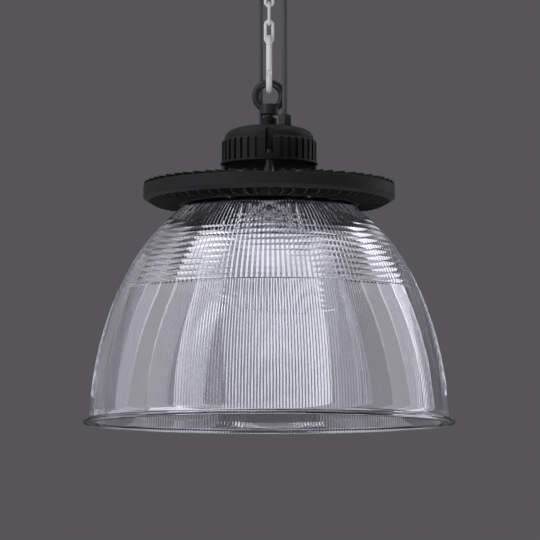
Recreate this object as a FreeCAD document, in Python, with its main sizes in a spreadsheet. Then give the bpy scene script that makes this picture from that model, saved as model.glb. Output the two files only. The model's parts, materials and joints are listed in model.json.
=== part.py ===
import FreeCAD, Part
import os
import re
import Sketcher

# High bay light on a chain: a round die-cast heat sink with its driver housing above and a prismatic bell
# reflector below, hung by an eye bolt, a snap hook and three chain links from a canopy on the ceiling.
# Millimetres. The origin is the centre of the canopy's face on the ceiling and +Z points up.

doc = FreeCAD.newDocument("HighBayLight")
sheet = doc.addObject("Spreadsheet::Sheet", "sizes")

drivingSizes = [
    # ceiling plate and canopy
    ("ceilingPlateRadius", 48, "ceiling plate"),
    ("ceilingPlateThickness", 3, "ceiling plate"),
    ("ceilingHoleSpacing", 70, "centres of the two ceiling screw holes"),
    ("ceilingHoleRadius", 2.75, "ceiling screw holes"),
    ("hangerBossRadius", 10, "boss under the ceiling plate"),
    ("hangerBossHeight", 14, "boss under the ceiling plate"),
    ("hangerThreadDepth", 11, "blind thread in the boss"),
    ("canopyRadius", 55, "canopy outside"),
    ("canopyDepth", 24, "canopy outside"),
    ("canopyWall", 1.5, "canopy sheet"),
    ("canopyCornerRadius", 9, "canopy's rounded lower edge"),
    ("canopyNutWidth", 13, "across the flats"),
    ("canopyNutThickness", 4, "nut under the canopy"),
    # closed eye under the canopy
    ("canopyEyeNeck", 1, "from the nut to the eye"),
    ("canopyEyeInnerRadius", 8, "canopy eye"),
    ("canopyEyeWireRadius", 2.5, "canopy eye"),
    ("canopyEyeShankRadius", 4, "canopy eye's threaded shank"),
    # chain
    ("linkLength", 32.6, "chain link outside"),
    ("linkWidth", 13.8, "chain link outside"),
    ("linkWire", 4, "chain link wire diameter"),
    ("chainPlay", 0.1, "between two pieces that hang in each other"),
    # snap hook, its gate, pin and spring
    ("hookLength", 77, "snap hook outside"),
    ("hookWidth", 40, "snap hook outside"),
    ("hookWire", 8, "snap hook wire diameter"),
    ("saddleLength", 8, "waist in the hook's upper bend that the link sits in"),
    ("saddleClearance", 0.15, "on each side of the waist in the link"),
    ("saddleDepth", 0.2, "cut of the waist under and over the bend"),
    ("hingeHeight", 3.8, "gate pin above the lower bend's centre"),
    ("gateRodRadius", 3.6, "gate"),
    ("gateHeelWidth", 6.8, "gate across its fork"),
    ("gateReach", 38, "gate pin to the nose"),
    ("gateTongue", 4, "gate's tongue behind the nose"),
    ("gateClearance", 0.3, "between gate and hook"),
    ("earThickness", 3, "hook's ear in the gate's fork"),
    ("gatePinRadius", 1.25, "gate pin"),
    ("runningClearance", 0.05, "radial, pin in the gate and threads in their holes"),
    ("springRadius", 1.9, "gate spring outside"),
    ("springWire", 0.7, "gate spring wall"),
    ("springLength", 12, "gate spring"),
    # eye bolt
    ("eyeBoltInnerRadius", 12.5, "eye bolt ring"),
    ("eyeBoltWireRadius", 5, "eye bolt ring"),
    ("eyeBoltSeatDepth", 24.5, "ring centre to the collar's underside"),
    ("eyeBoltCollarRadius", 12.5, "eye bolt collar"),
    ("eyeBoltCollarHeight", 13.7, "eye bolt collar"),
    ("eyeBoltThreadRadius", 5, "eye bolt thread"),
    ("eyeBoltThreadLength", 34, "eye bolt thread"),
    ("eyeBoltSpacerRadius", 6.4, "spacer under the collar"),
    ("eyeBoltSpacerHeight", 4.2, "spacer under the collar"),
    ("eyeBoltNutWidth", 17, "across the flats"),
    ("eyeBoltNutThickness", 8, "nut inside the housing"),
    ("eyeBoltWasherRadius", 10, "washer inside the housing"),
    ("eyeBoltWasherThickness", 2, "washer inside the housing"),
    # driver housing
    ("bossRadius", 10.2, "boss on the housing for the eye bolt"),
    ("bossHeight", 10.9, "boss above the dome"),
    ("bossEdge", 1.6, "rounding of the boss"),
    ("housingHeight", 48.4, "base plate to the top of the dome"),
    ("housingRadius", 62.5, "housing wall outside"),
    ("housingWall", 6, "housing wall"),
    ("housingFloor", 3, "inward flange at the housing's foot"),
    ("housingFloorRadius", 49.5, "opening in that flange"),
    ("drumHeight", 26.2, "straight part of the wall"),
    ("chamferHeight", 4, "slope above the straight part"),
    ("domeRadius", 58.5, "foot of the dome"),
    ("domeFoot", 2, "straight foot of the dome"),
    ("domeCornerRadius", 14, "dome's outer rounding"),
    ("domeShoulderRadius", 66, "dome's shoulder rounding"),
    ("domeCrownRadius", 375, "dome's flat crown rounding"),
    ("domeCornerReach", 50, "where the outer rounding ends"),
    ("domeCornerDrop", 6, "its depth under the top"),
    ("domeShoulderReach", 30, "where the shoulder ends"),
    ("domeShoulderDrop", 1.2, "its depth under the top"),
    ("domeWall", 5, "dome wall"),
    ("ceilingReach", 34, "flat ceiling inside the dome"),
    ("recessWidth", 4.4, "upright recesses in the wall"),
    ("recessDepth", 3, "upright recesses in the wall"),
    ("recessHeight", 28.2, "upright recesses in the wall"),
    ("recessFirstAngle", 15, "first recess from a screw channel"),
    ("recessPitch", 10, "angle between recesses"),
    ("channelRadius", 5, "half the width of a screw channel"),
    ("channelWall", 3, "wall round a screw channel"),
    ("channelFloor", 5.4, "base plate to the screw head"),
    ("gasketRadius", 53.1, "housing gasket outside"),
    ("gasketWidth", 2.5, "housing gasket"),
    ("gasketThickness", 1.5, "housing gasket"),
    # base plate, pillars and their screws
    ("basePlateLip", 1.35, "base plate beyond the pillars"),
    ("basePlateThickness", 3.3, "base plate"),
    ("pillarInset", 4.9, "pillar circle inside the housing"),
    ("pillarRadius", 4.85, "pillar outside"),
    ("pillarHeight", 20.2, "pillar"),
    ("housingScrewRadius", 2.5, "housing screw"),
    ("housingScrewGrip", 16, "thread in the heat sink"),
    ("housingScrewHeadRadius", 4.25, "housing screw head"),
    ("housingScrewHeadHeight", 5, "housing screw head"),
    ("housingScrewSocket", 4, "across the flats"),
    ("screwHoleClearance", 0.25, "radial, screws through plates and pillars"),
    # wire nipple between heat sink and housing
    ("nippleRadius", 6, "wire nipple outside"),
    ("nippleBore", 4, "wire nipple bore radius"),
    ("nippleSeat", 4, "heat sink's underside to the nipple's foot"),
    ("nippleRise", 6.4, "nipple above the base plate"),
    ("nippleNutWidth", 17, "across the flats"),
    ("nippleNutThickness", 4.5, "nut on the nipple"),
    ("leadRadius", 1.1, "the two leads in the nipple"),
    ("leadOffset", 1.8, "each lead from the axis"),
    # heat sink
    ("finHeight", 32.3, "heat sink underside to the fins' inner tops"),
    ("finRimHeight", 29.2, "heat sink underside to the fins' tops at the rim"),
    ("finSlopeRadius", 95, "where the fins' tops start to fall"),
    ("finThickness", 2, "fin"),
    ("finInnerRadius", 50, "fins' inner ends"),
    ("finBays", 20, "groups of three fins"),
    ("finSecondAngle", 6.5, "second fin of a group"),
    ("finThirdAngle", 11.5, "third fin of a group"),
    ("heatSinkRadius", 165, "rim band outside"),
    ("undersideRadius", 150, "flat underside"),
    ("undersideRise", 8.7, "slope from the flat underside to the rim"),
    ("bandThickness", 7, "rim band"),
    ("bandTop", 24.8, "rim band's top"),
    ("bandEdge", 1, "bevel at the band's edges"),
    ("plateLip", 8.5, "solid plate beyond the reflector's neck"),
    ("plateThickness", 8, "solid plate"),
    ("footRadius", 8, "cast foot under each pillar"),
    ("hubRadius", 14, "cast hub round the nipple"),
    # LED board
    ("padLip", 1, "thermal pad beyond the LED board"),
    ("padThickness", 0.5, "thermal pad"),
    ("boardClearance", 5.5, "LED board inside the lens cup"),
    ("boardThickness", 1.6, "LED board"),
    ("chipWidth", 5, "LED package"),
    ("chipHeight", 0.8, "LED package"),
    ("firstRing", 20, "radius of the inner ring of LEDs"),
    ("boardMargin", 5.2, "outer ring of LEDs to the board's edge"),
    ("boardScrewRadius", 1.5, "board screw"),
    ("boardScrewGrip", 5, "thread in the heat sink"),
    ("boardScrewHeadRadius", 2.75, "board screw head"),
    ("boardScrewHeadHeight", 1.8, "board screw head"),
    ("smallScrewSocket", 2, "across the flats, 3 mm screws"),
    # lens
    ("lensRadius", 86, "lens cup outside"),
    ("lensWall", 2.5, "lens cup"),
    ("lensDepth", 8, "heat sink underside to the lens face"),
    ("lensFlangeWidth", 4, "lens flange"),
    ("lensGasketThickness", 1.2, "lens gasket"),
    ("lensDomeRadius", 7, "lens over each LED"),
    ("lensDomeHeight", 3.5, "lens over each LED"),
    ("lensRingLip", 4.2, "lens ring beyond the lens flange"),
    ("lensRingThickness", 2.5, "lens ring"),
    ("lensRingClearance", 0.3, "lens ring round the lens"),
    ("lensScrewRadius", 1.5, "lens ring screw"),
    ("lensScrewGrip", 5, "thread in the heat sink"),
    ("lensScrewHeadRadius", 2.1, "lens ring screw head"),
    ("lensScrewHeadHeight", 1.8, "lens ring screw head"),
    # reflector
    ("shoulderLevel", 173.3, "rim to the edge between plain and cross-ribbed wall"),
    ("shoulderHeight", 114.2, "that edge to the heat sink"),
    ("plainNeck", 26.2, "heat sink to the top of the cross ribs"),
    ("reflectorWall", 2.5, "reflector wall"),
    ("neckClearance", 2, "clamp ring inside the reflector's neck"),
    ("flangeClearance", 1.5, "reflector's flange round the lens ring"),
    ("reflectorFlangeThickness", 3, "reflector's flange"),
    ("shoulderRadius", 197.1, "outside, above the edge"),
    ("shoulderStep", 0.6, "step at that edge"),
    ("shoulderCurve", 268.8, "curve of the wall above the edge"),
    ("skirtCurve", 463.7, "curve of the wall below the edge"),
    ("skirtFoot", 8, "rim to the foot of the curved wall"),
    ("skirtRadius", 234.2, "outside, at the foot of the curved wall"),
    ("rimReach", 8.5, "rim lip beyond the foot of the curved wall"),
    ("rimHeight", 6.6, "rim lip"),
    ("rimEdge", 2, "rounding of the lip"),
    ("crossRibHeight", 1, "cross ribs inside the wall"),
    ("crossRibCount", 12, "cross ribs"),
    ("clampRingWidth", 9, "reflector clamp ring"),
    ("clampRingThickness", 2, "reflector clamp ring"),
    ("reflectorScrewInset", 4.5, "flange opening to the circle of reflector screws"),
    ("reflectorScrewRadius", 2, "reflector screw"),
    ("reflectorScrewGrip", 6, "thread in the heat sink"),
    ("reflectorScrewHeadRadius", 3.5, "reflector screw head"),
    ("reflectorScrewHeadHeight", 2.6, "reflector screw head"),
    ("reflectorScrewSocket", 2.5, "across the flats"),
    # cables and where they enter
    ("mainsX", 20.4, "mains cable"),
    ("mainsY", -12, "mains cable"),
    ("mainsRadius", 3.5, "mains cable"),
    ("controlX", -10.7, "control cable"),
    ("controlY", 14, "control cable"),
    ("controlRadius", 2.6, "control cable"),
    ("cableTail", 9, "cable below the dome's top"),
    ("cableClearance", 0.1, "radial, cable in gland or grommet"),
    ("glandWidth", 16.5, "across the flats"),
    ("glandSpigotRadius", 6, "gland thread"),
    ("glandSpigotLength", 12, "gland thread"),
    ("glandFlange", 3.6, "gland body's hexagon"),
    ("glandPadHeight", 0.2, "flat pad on the dome, above its top"),
    ("glandPadRadius", 9.6, "flat pad on the dome"),
    ("glandNeckRadius", 6.4, "gland body inside the cap"),
    ("glandNeckHeight", 4, "gland body inside the cap"),
    ("capHeight", 10.1, "gland cap"),
    ("capTopRadius", 6.2, "gland cap's top"),
    ("capTaper", 4, "gland cap's rounded part"),
    ("sealHeight", 4, "gland seal"),
    ("locknutWidth", 16, "across the flats"),
    ("locknutThickness", 4, "gland locknut"),
    ("grommetLip", 2, "how far a grommet's flange reaches over its hole"),
    ("grommetFlange", 1.8, "grommet flange thickness"),
    ("grommetWall", 1.9, "grommet's sleeve"),
    ("connectorWidth", 9, "control cable's connector in the canopy"),
    ("mainsConnectorWidth", 15, "mains cable's connector in the canopy"),
    ("connectorHeight", 14, "both connectors"),
    # driver
    ("driverLevel", 7.2, "base plate to the driver board"),
    ("driverRadius", 46, "driver board"),
    ("driverThickness", 1.6, "driver board"),
    ("standoffCircle", 38, "radius of the circle of standoffs"),
    ("standoffRadius", 3, "standoff"),
    ("standoffScrewRadius", 1.5, "driver board screw"),
    ("standoffScrewHeadRadius", 2.75, "driver board screw head"),
    ("standoffScrewHeadHeight", 1.8, "driver board screw head"),
    ("standoffScrewGrip", 5, "thread in the standoff"),
    ("transformerLength", 30, "transformer"),
    ("transformerWidth", 22, "transformer"),
    ("transformerHeight", 17, "transformer"),
    ("transformerX", -19, "transformer"),
    ("transformerY", 6, "transformer"),
    ("capacitorRadius", 5.5, "capacitors"),
    ("capacitorHeight", 15, "capacitors"),
    ("capacitorX", 16, "first capacitor"),
    ("capacitorY", 28, "capacitors"),
    ("capacitorSpacing", 12.5, "centre to centre"),
    ("chokeRadius", 6, "choke ring's middle"),
    ("chokeThickness", 6, "choke ring's diameter of section"),
    ("chokeX", -14, "choke"),
    ("chokeY", -23, "choke"),
    ("terminalLength", 24, "terminal block"),
    ("terminalWidth", 10, "terminal block"),
    ("terminalHeight", 11, "terminal block"),
    ("terminalX", 10, "terminal block"),
    ("terminalY", -20, "terminal block"),
    ("terminalHoleRadius", 1.5, "terminal block's wire holes"),
    ("terminalHoleSpacing", 7.5, "terminal block's wire holes"),
    ("terminalHoleHeight", 3.7, "driver board to the wire holes"),
]

# Levels follow from the sizes above: each piece hangs in, or is screwed to, the one before it.
levels = [
    ("canopyEyeZ", "-(canopyDepth + canopyNutThickness + canopyEyeNeck + canopyEyeInnerRadius"
                   " + 2 * canopyEyeWireRadius)"),
    ("upperLinkZ", "canopyEyeZ - canopyEyeInnerRadius + chainPlay + linkWire - linkLength / 2"),
    ("linkPitch", "linkLength - 2 * linkWire - chainPlay"),
    ("middleLinkZ", "upperLinkZ - linkPitch"),
    ("lowerLinkZ", "middleLinkZ - linkPitch"),
    ("hookZ", "lowerLinkZ - linkLength / 2 + linkWire + chainPlay - saddleDepth + hookWire"
              " - hookLength / 2"),
    ("hookBendRadius", "(hookWidth - hookWire) / 2"),
    ("hookBendRise", "hookLength / 2 - hookWidth / 2"),
    ("gatePinZ", "hookZ - hookBendRise + hingeHeight"),
    ("eyeBoltZ", "hookZ - hookLength / 2 + hookWire + chainPlay - eyeBoltInnerRadius"),
    ("eyeBoltSeat", "eyeBoltZ - eyeBoltSeatDepth"),
    ("bossTop", "eyeBoltSeat - eyeBoltSpacerHeight"),
    ("domeTop", "bossTop - bossHeight"),
    ("housingBase", "domeTop - housingHeight"),
    ("basePlateBottom", "housingBase - basePlateThickness"),
    ("finTop", "basePlateBottom - pillarHeight"),
    ("deck", "finTop - finHeight"),
    ("pillarCircle", "housingRadius - pillarInset"),
    ("reflectorHeight", "shoulderLevel + shoulderHeight"),
    ("rimZ", "deck - reflectorHeight"),
    ("domeInside", "domeTop - domeWall"),
    ("glandSeat", "domeTop + glandPadHeight"),
    ("channelFloorZ", "housingBase + channelFloor"),
    ("driverTop", "housingBase + driverLevel + driverThickness"),
    ("ledFace", "deck - padThickness - boardThickness"),
    ("lensFlangeTop", "deck - lensGasketThickness"),
    ("lensRingFace", "lensFlangeTop - lensWall - lensRingThickness"),
    ("lensFlangeRadius", "lensRadius + lensFlangeWidth"),
    ("lensRingRadius", "lensFlangeRadius + lensRingClearance + lensRingLip"),
    ("lensScrewCircle", "(lensFlangeRadius + lensRingClearance + lensRingRadius) / 2"),
    ("boardRadius", "lensRadius - lensWall - boardClearance"),
    ("padRadius", "boardRadius + padLip"),
    ("ringStep", "(boardRadius - boardMargin - firstRing) / 3"),
    ("boardScrewCircle", "firstRing + 2.5 * ringStep"),
    ("reflectorFlangeRadius", "lensRingRadius + flangeClearance"),
    ("reflectorScrewCircle", "reflectorFlangeRadius + reflectorScrewInset"),
    ("clampRingRadius", "reflectorFlangeRadius + clampRingWidth"),
    ("neckRadius", "clampRingRadius + neckClearance + reflectorWall"),
    ("plateRadius", "neckRadius + plateLip"),
    ("clampRingFace", "deck - reflectorFlangeThickness - clampRingThickness"),
    ("cableFoot", "domeTop - cableTail"),
    ("connectorFace", "-(ceilingPlateThickness + connectorHeight)"),
    ("basePlateRadius", "pillarCircle + pillarRadius + basePlateLip"),
    ("rimRadius", "skirtRadius + rimReach"),
    ("crossRibTop", "reflectorHeight - plainNeck"),
    # centres of the two curves of the reflector's wall, from the rim's level
    ("shoulderChord", "sqrt((shoulderRadius - neckRadius) ^ 2 + (reflectorHeight - shoulderLevel) ^ 2)"),
    ("shoulderSag", "sqrt(shoulderCurve ^ 2 - shoulderChord ^ 2 / 4)"),
    ("shoulderCentreR", "(shoulderRadius + neckRadius) / 2"
                        " - shoulderSag * (reflectorHeight - shoulderLevel) / shoulderChord"),
    ("shoulderCentreZ", "(shoulderLevel + reflectorHeight) / 2"
                        " - shoulderSag * (shoulderRadius - neckRadius) / shoulderChord"),
    ("skirtTopRadius", "shoulderRadius + shoulderStep"),
    ("skirtChord", "sqrt((skirtRadius - skirtTopRadius) ^ 2 + (shoulderLevel - skirtFoot) ^ 2)"),
    ("skirtSag", "sqrt(skirtCurve ^ 2 - skirtChord ^ 2 / 4)"),
    ("skirtCentreR", "(skirtRadius + skirtTopRadius) / 2"
                     " - skirtSag * (shoulderLevel - skirtFoot) / skirtChord"),
    ("skirtCentreZ", "(skirtFoot + shoulderLevel) / 2"
                     " - skirtSag * (skirtRadius - skirtTopRadius) / skirtChord"),
    ("crossRibPitch", "(crossRibTop - shoulderLevel) / crossRibCount"),
]

for row, (alias, size, meaning) in enumerate(drivingSizes, 1):
    sheet.set(f"A{row}", meaning)
    sheet.set(f"B{row}", str(size))
    sheet.setAlias(f"B{row}", alias)
for row, (alias, rule) in enumerate(levels, len(drivingSizes) + 1):
    sheet.set(f"A{row}", alias)
    sheet.set(f"B{row}", "=" + rule)
    sheet.setAlias(f"B{row}", alias)
doc.recompute()

aliases = {entry[0] for entry in drivingSizes + levels}


def withSheet(rule):
    """Put the sheet's name before each of its aliases in an expression."""
    return re.sub(r"[A-Za-z]\w*", lambda word: ("sizes." if word.group() in aliases else "") + word.group(),
                  str(rule))


def value(rule):
    return float(sheet.evalExpression(withSheet(rule)))


def bind(thing, **rules):
    """Tie properties to expressions; a trailing x, y, z or angle word stands for a place."""
    places = {"x": "Placement.Base.x", "y": "Placement.Base.y", "z": "Placement.Base.z",
              "angle": "Placement.Rotation.Angle"}
    for name, rule in rules.items():
        if name in places and rule in (0, "0"):
            continue
        thing.setExpression(places.get(name, name), withSheet(rule))
    return thing


alongX = FreeCAD.Rotation(FreeCAD.Vector(0, 1, 0), 90)
alongY = FreeCAD.Rotation(FreeCAD.Vector(1, 0, 0), 90)
quarterTurn = FreeCAD.Rotation(FreeCAD.Vector(0, 0, 1), 90)


def cylinder(name, radius, height, x=0, y=0, z=0, turn=None):
    thing = doc.addObject("Part::Cylinder", name)
    if turn:
        thing.Placement.Rotation = turn
    return bind(thing, Radius=radius, Height=height, x=x, y=y, z=z)


def block(name, length, width, height, x=0, y=0, z=0):
    """A box centred on x and y that stands on z."""
    thing = doc.addObject("Part::Box", name)
    return bind(thing, Length=length, Width=width, Height=height,
                x=f"{x} - ({length}) / 2", y=f"{y} - ({width}) / 2", z=z)


def hexagon(name, flats, height, x=0, y=0, z=0):
    """A hexagonal prism with a corner towards -Y and +Y."""
    thing = doc.addObject("Part::Prism", name)
    thing.Polygon = 6
    thing.Placement.Rotation = FreeCAD.Rotation(FreeCAD.Vector(0, 0, 1), 30)
    return bind(thing, Circumradius=f"({flats}) / 2 / cos(30)", Height=height, x=x, y=y, z=z)


def bend(name, middle, wire, x=0, z=0, sweep=360, turn=alongY):
    """A round bar bent to an arc in the XZ plane, the half above z when sweep is 180."""
    thing = doc.addObject("Part::Torus", name)
    thing.Placement.Rotation = turn
    thing.Angle3 = sweep
    return bind(thing, Radius1=middle, Radius2=wire, x=x, z=z)


def fuse(name, *shapes):
    thing = doc.addObject("Part::MultiFuse", name)
    thing.Shapes = list(shapes)
    return thing


def common(name, *shapes):
    thing = doc.addObject("Part::MultiCommon", name)
    thing.Shapes = list(shapes)
    return thing


def cut(name, base, *tools):
    thing = doc.addObject("Part::Cut", name)
    thing.Base = base
    thing.Tool = tools[0] if len(tools) == 1 else fuse(name + "Tools", *tools)
    return thing


def group(name, *shapes):
    thing = doc.addObject("Part::Compound", name)
    thing.Links = list(shapes)
    return thing


def copy(name, original, x=0, y=0, z=0, angle=0):
    thing = doc.addObject("App::Link", name)
    thing.LinkedObject = original
    return bind(thing, x=x, y=y, z=z, angle=angle)


def onCircle(name, original, radius, count, z=0, first=0):
    """Copies of a piece on a circle, each turned to face outwards."""
    angles = [f"{first} + {step} * 360 / {count}" for step in range(count)]
    return [copy(f"{name}{number}", original, x=f"({radius}) * cos({angle})", y=f"({radius}) * sin({angle})",
                 z=z, angle=angle) for number, angle in enumerate(angles)]


def turned(name, outline, z=0, x=0, y=0):
    """A body turned about Z from an outline of corners (radius, height).

    A corner with a third entry is reached along an arc of that radius, with a minus sign where the arc
    curves clockwise on the way to it.
    """
    body = doc.addObject("PartDesign::Body", name)
    sketch = body.newObject("Sketcher::SketchObject", name + "Outline")
    plane = [feature for feature in body.Origin.OriginFeatures if feature.Role == "XZ_Plane"][0]
    sketch.AttachmentSupport = [(plane, "")]
    sketch.MapMode = "FlatFace"
    points = [FreeCAD.Vector(value(corner[0]), value(corner[1]), 0) for corner in outline]
    starts = []
    for number, begin in enumerate(points):
        following = (number + 1) % len(points)
        end = points[following]
        if len(outline[following]) == 2:
            sketch.addGeometry(Part.LineSegment(begin, end), False)
            starts.append((number, 1, 2))
            continue
        radius = value(outline[following][2])
        chord = end - begin
        across = FreeCAD.Vector(-chord.y, chord.x, 0).normalize()
        sag = (radius ** 2 - chord.Length ** 2 / 4) ** 0.5
        centre = (begin + end) / 2 + across * (sag if radius > 0 else -sag)
        circle = Part.Circle(centre, FreeCAD.Vector(0, 0, 1), abs(radius))
        first, last = (begin, end) if radius > 0 else (end, begin)
        arc = Part.ArcOfCircle(circle, circle.parameter(first), circle.parameter(last))
        sketch.addGeometry(arc, False)
        starts.append((number, 1, 2) if radius > 0 else (number, 2, 1))
    for number, (piece, startEnd, farEnd) in enumerate(starts):
        after = starts[(number + 1) % len(starts)]
        sketch.addConstraint(Sketcher.Constraint("Coincident", piece, farEnd, after[0], after[1]))
    rules = []
    for (piece, startEnd, farEnd), corner, point in zip(starts, outline, points):
        for kind, axis, rule, size in (("DistanceX", -2, corner[0], point.x),
                                       ("DistanceY", -1, corner[1], point.y)):
            if str(rule) == "0":
                sketch.addConstraint(Sketcher.Constraint("PointOnObject", piece, startEnd, axis))
            else:
                index = sketch.addConstraint(Sketcher.Constraint(kind, -1, 1, piece, startEnd, size))
                rules.append((index, rule))
    for number, corner in enumerate(outline):
        if len(corner) == 3:
            size = str(corner[2]).lstrip("-")
            index = sketch.addConstraint(Sketcher.Constraint("Radius", number - 1 if number else
                                                             len(outline) - 1, value(size)))
            rules.append((index, size))
    for index, rule in rules:
        sketch.setExpression(f"Constraints[{index}]", withSheet(rule))
    revolution = body.newObject("PartDesign::Revolution", name + "Turned")
    revolution.Profile = sketch
    revolution.ReferenceAxis = (sketch, ["V_Axis"])
    revolution.Angle = 360
    body.Tip = revolution
    return bind(body, x=x, y=y, z=z)


def tube(name, outer, inner, height, z=0, x=0, y=0):
    return turned(name, [(inner, 0), (outer, 0), (outer, height), (inner, height)], z, x, y)


def screw(name, radius, length, headRadius, headHeight, socket, headDown=False):
    """A socket screw whose head sits on z = 0, its shank below, or above when the head points down."""
    drop = f"-({length})"
    if headDown:
        head = cylinder(name + "Head", headRadius, headHeight, z=f"-({headHeight})")
        shank = cylinder(name + "Shank", radius, length)
        socketBottom = f"-({headHeight}) - 1"
    else:
        head = cylinder(name + "Head", headRadius, headHeight)
        shank = cylinder(name + "Shank", radius, length, z=drop)
        socketBottom = f"({headHeight}) * 0.4"
    recess = hexagon(name + "Socket", socket, f"({headHeight}) * 0.6 + 1", z=socketBottom)
    return cut(name, fuse(name + "Blank", head, shank), recess)


parts = {}

pillarCount = 4
boardScrewCount = 6
lensScrewCount = 8
reflectorScrewCount = 6
recessesInAQuarter = 7


def subPart(label, thing):
    thing.Label = label
    parts[label] = thing
    return thing


# ---- ceiling plate, canopy and eye ----

def ceilingPlate():
    plate = cylinder("plateDisc", "ceilingPlateRadius", "ceilingPlateThickness", z="-ceilingPlateThickness")
    bossBottom = "-(ceilingPlateThickness + hangerBossHeight)"
    boss = cylinder("hangerBoss", "hangerBossRadius", "hangerBossHeight", z=bossBottom)
    thread = cylinder("hangerThread", "canopyEyeShankRadius + runningClearance", "hangerThreadDepth",
                      z=bossBottom)
    holes = [cylinder(f"ceilingHole{side}", "ceilingHoleRadius", "ceilingPlateThickness + 2",
                      x=f"{sign}ceilingHoleSpacing / 2", z="-ceilingPlateThickness - 1")
             for side, sign in (("Left", "-"), ("Right", ""))]
    subPart("ceiling_plate", cut("ceilingPlate", fuse("plateBlank", plate, boss), thread, *holes))


def ceilingCanopy():
    cup = turned("canopyCup", [
        ("canopyEyeShankRadius + 2 * screwHoleClearance", 0),
        ("canopyRadius - canopyCornerRadius", 0),
        ("canopyRadius", "canopyCornerRadius", "canopyCornerRadius"),
        ("canopyRadius", "canopyDepth"),
        ("canopyRadius - canopyWall", "canopyDepth"),
        ("canopyRadius - canopyWall", "canopyCornerRadius"),
        ("canopyRadius - canopyCornerRadius", "canopyWall", "-(canopyCornerRadius - canopyWall)"),
        ("canopyEyeShankRadius + 2 * screwHoleClearance", "canopyWall"),
    ], z="-canopyDepth")
    holes = [cylinder(f"{cable}CanopyHole", f"{cable}Radius + cableClearance + grommetWall",
                      "canopyWall + 2", x=f"{cable}X", y=f"{cable}Y", z="-canopyDepth - 1")
             for cable in ("mains", "control")]
    subPart("ceiling_canopy", cut("ceilingCanopy", cup, *holes))


def canopyNut():
    nut = hexagon("canopyNutHexagon", "canopyNutWidth", "canopyNutThickness",
                  z="-canopyDepth - canopyNutThickness")
    thread = cylinder("canopyNutThread", "canopyEyeShankRadius + runningClearance", "canopyNutThickness + 2",
                      z="-canopyDepth - canopyNutThickness - 1")
    subPart("canopy_nut", cut("canopyNut", nut, thread))


def canopyEye():
    eye = bend("canopyEyeRing", "canopyEyeInnerRadius + canopyEyeWireRadius", "canopyEyeWireRadius",
               z="canopyEyeZ", turn=alongX)
    foot = "canopyEyeZ + canopyEyeInnerRadius + canopyEyeWireRadius"
    top = "-(ceilingPlateThickness + hangerBossHeight - hangerThreadDepth + 1)"
    shank = cylinder("canopyEyeShank", "canopyEyeShankRadius", f"({top}) - ({foot})", z=foot)
    subPart("canopy_eye", fuse("canopyEye", eye, shank))


# ---- chain and snap hook ----

def chainLink(label, z, turn):
    """A welded link: two half rings joined by two straight bars."""
    middle = "(linkWidth - linkWire) / 2"
    straight = "(linkLength - linkWidth) / 2"
    upper = bend(label + "Upper", middle, "linkWire / 2", z=straight, sweep=180)
    lower = bend(label + "Lower", middle, "linkWire / 2", z=f"-({straight})", sweep=180,
                 turn=FreeCAD.Rotation(FreeCAD.Vector(1, 0, 0), -90))
    bars = [cylinder(f"{label}Bar{side}", "linkWire / 2", "linkLength - linkWidth", x=f"{sign}({middle})",
                     z=f"-({straight})") for side, sign in (("Left", "-"), ("Right", ""))]
    link = fuse(label, upper, lower, *bars)
    if turn:
        link.Placement.Rotation = quarterTurn
    subPart(label, bind(link, z=z))


def sideways(name, radius, height, z, x="-hookBendRadius"):
    """A cylinder across the hook, centred on its plane."""
    return cylinder(name, radius, height, x=x, y=f"({height}) / 2", z=z, turn=alongY)


# The hook, gate, pin and spring are made in the XZ plane with the gate on -X, and turned so that the gate
# points to -Y. Heights are from the hook's middle.
pinHeight = "hingeHeight - hookBendRise"


def inHookPlane(label, thing):
    thing.Placement.Rotation = quarterTurn
    subPart(label, bind(thing, z="hookZ"))


def saddleRoom():
    """What is taken off both sides of the upper bend, so that a link fits over it."""
    radius = "(linkWidth / 2 - linkWire - saddleClearance)"
    top = "hookLength / 2"
    room = block("saddleBlock", "saddleLength", "hookWire + 2", "hookWire + 2", z=f"{top} - hookWire - 1")
    lower = f"{top} - hookWire + saddleDepth + {radius}"
    upper = f"{top} - saddleDepth - {radius}"
    waist = block("saddleWaist", "saddleLength + 2", f"2 * {radius}", f"({upper}) - ({lower})", z=lower)
    rounds = [cylinder(f"saddleRound{side}", radius, "saddleLength + 2", x="-saddleLength / 2 - 1", z=level,
                       turn=alongX) for side, level in (("Lower", lower), ("Upper", upper))]
    return cut("saddleRoom", room, waist, *rounds)


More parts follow.
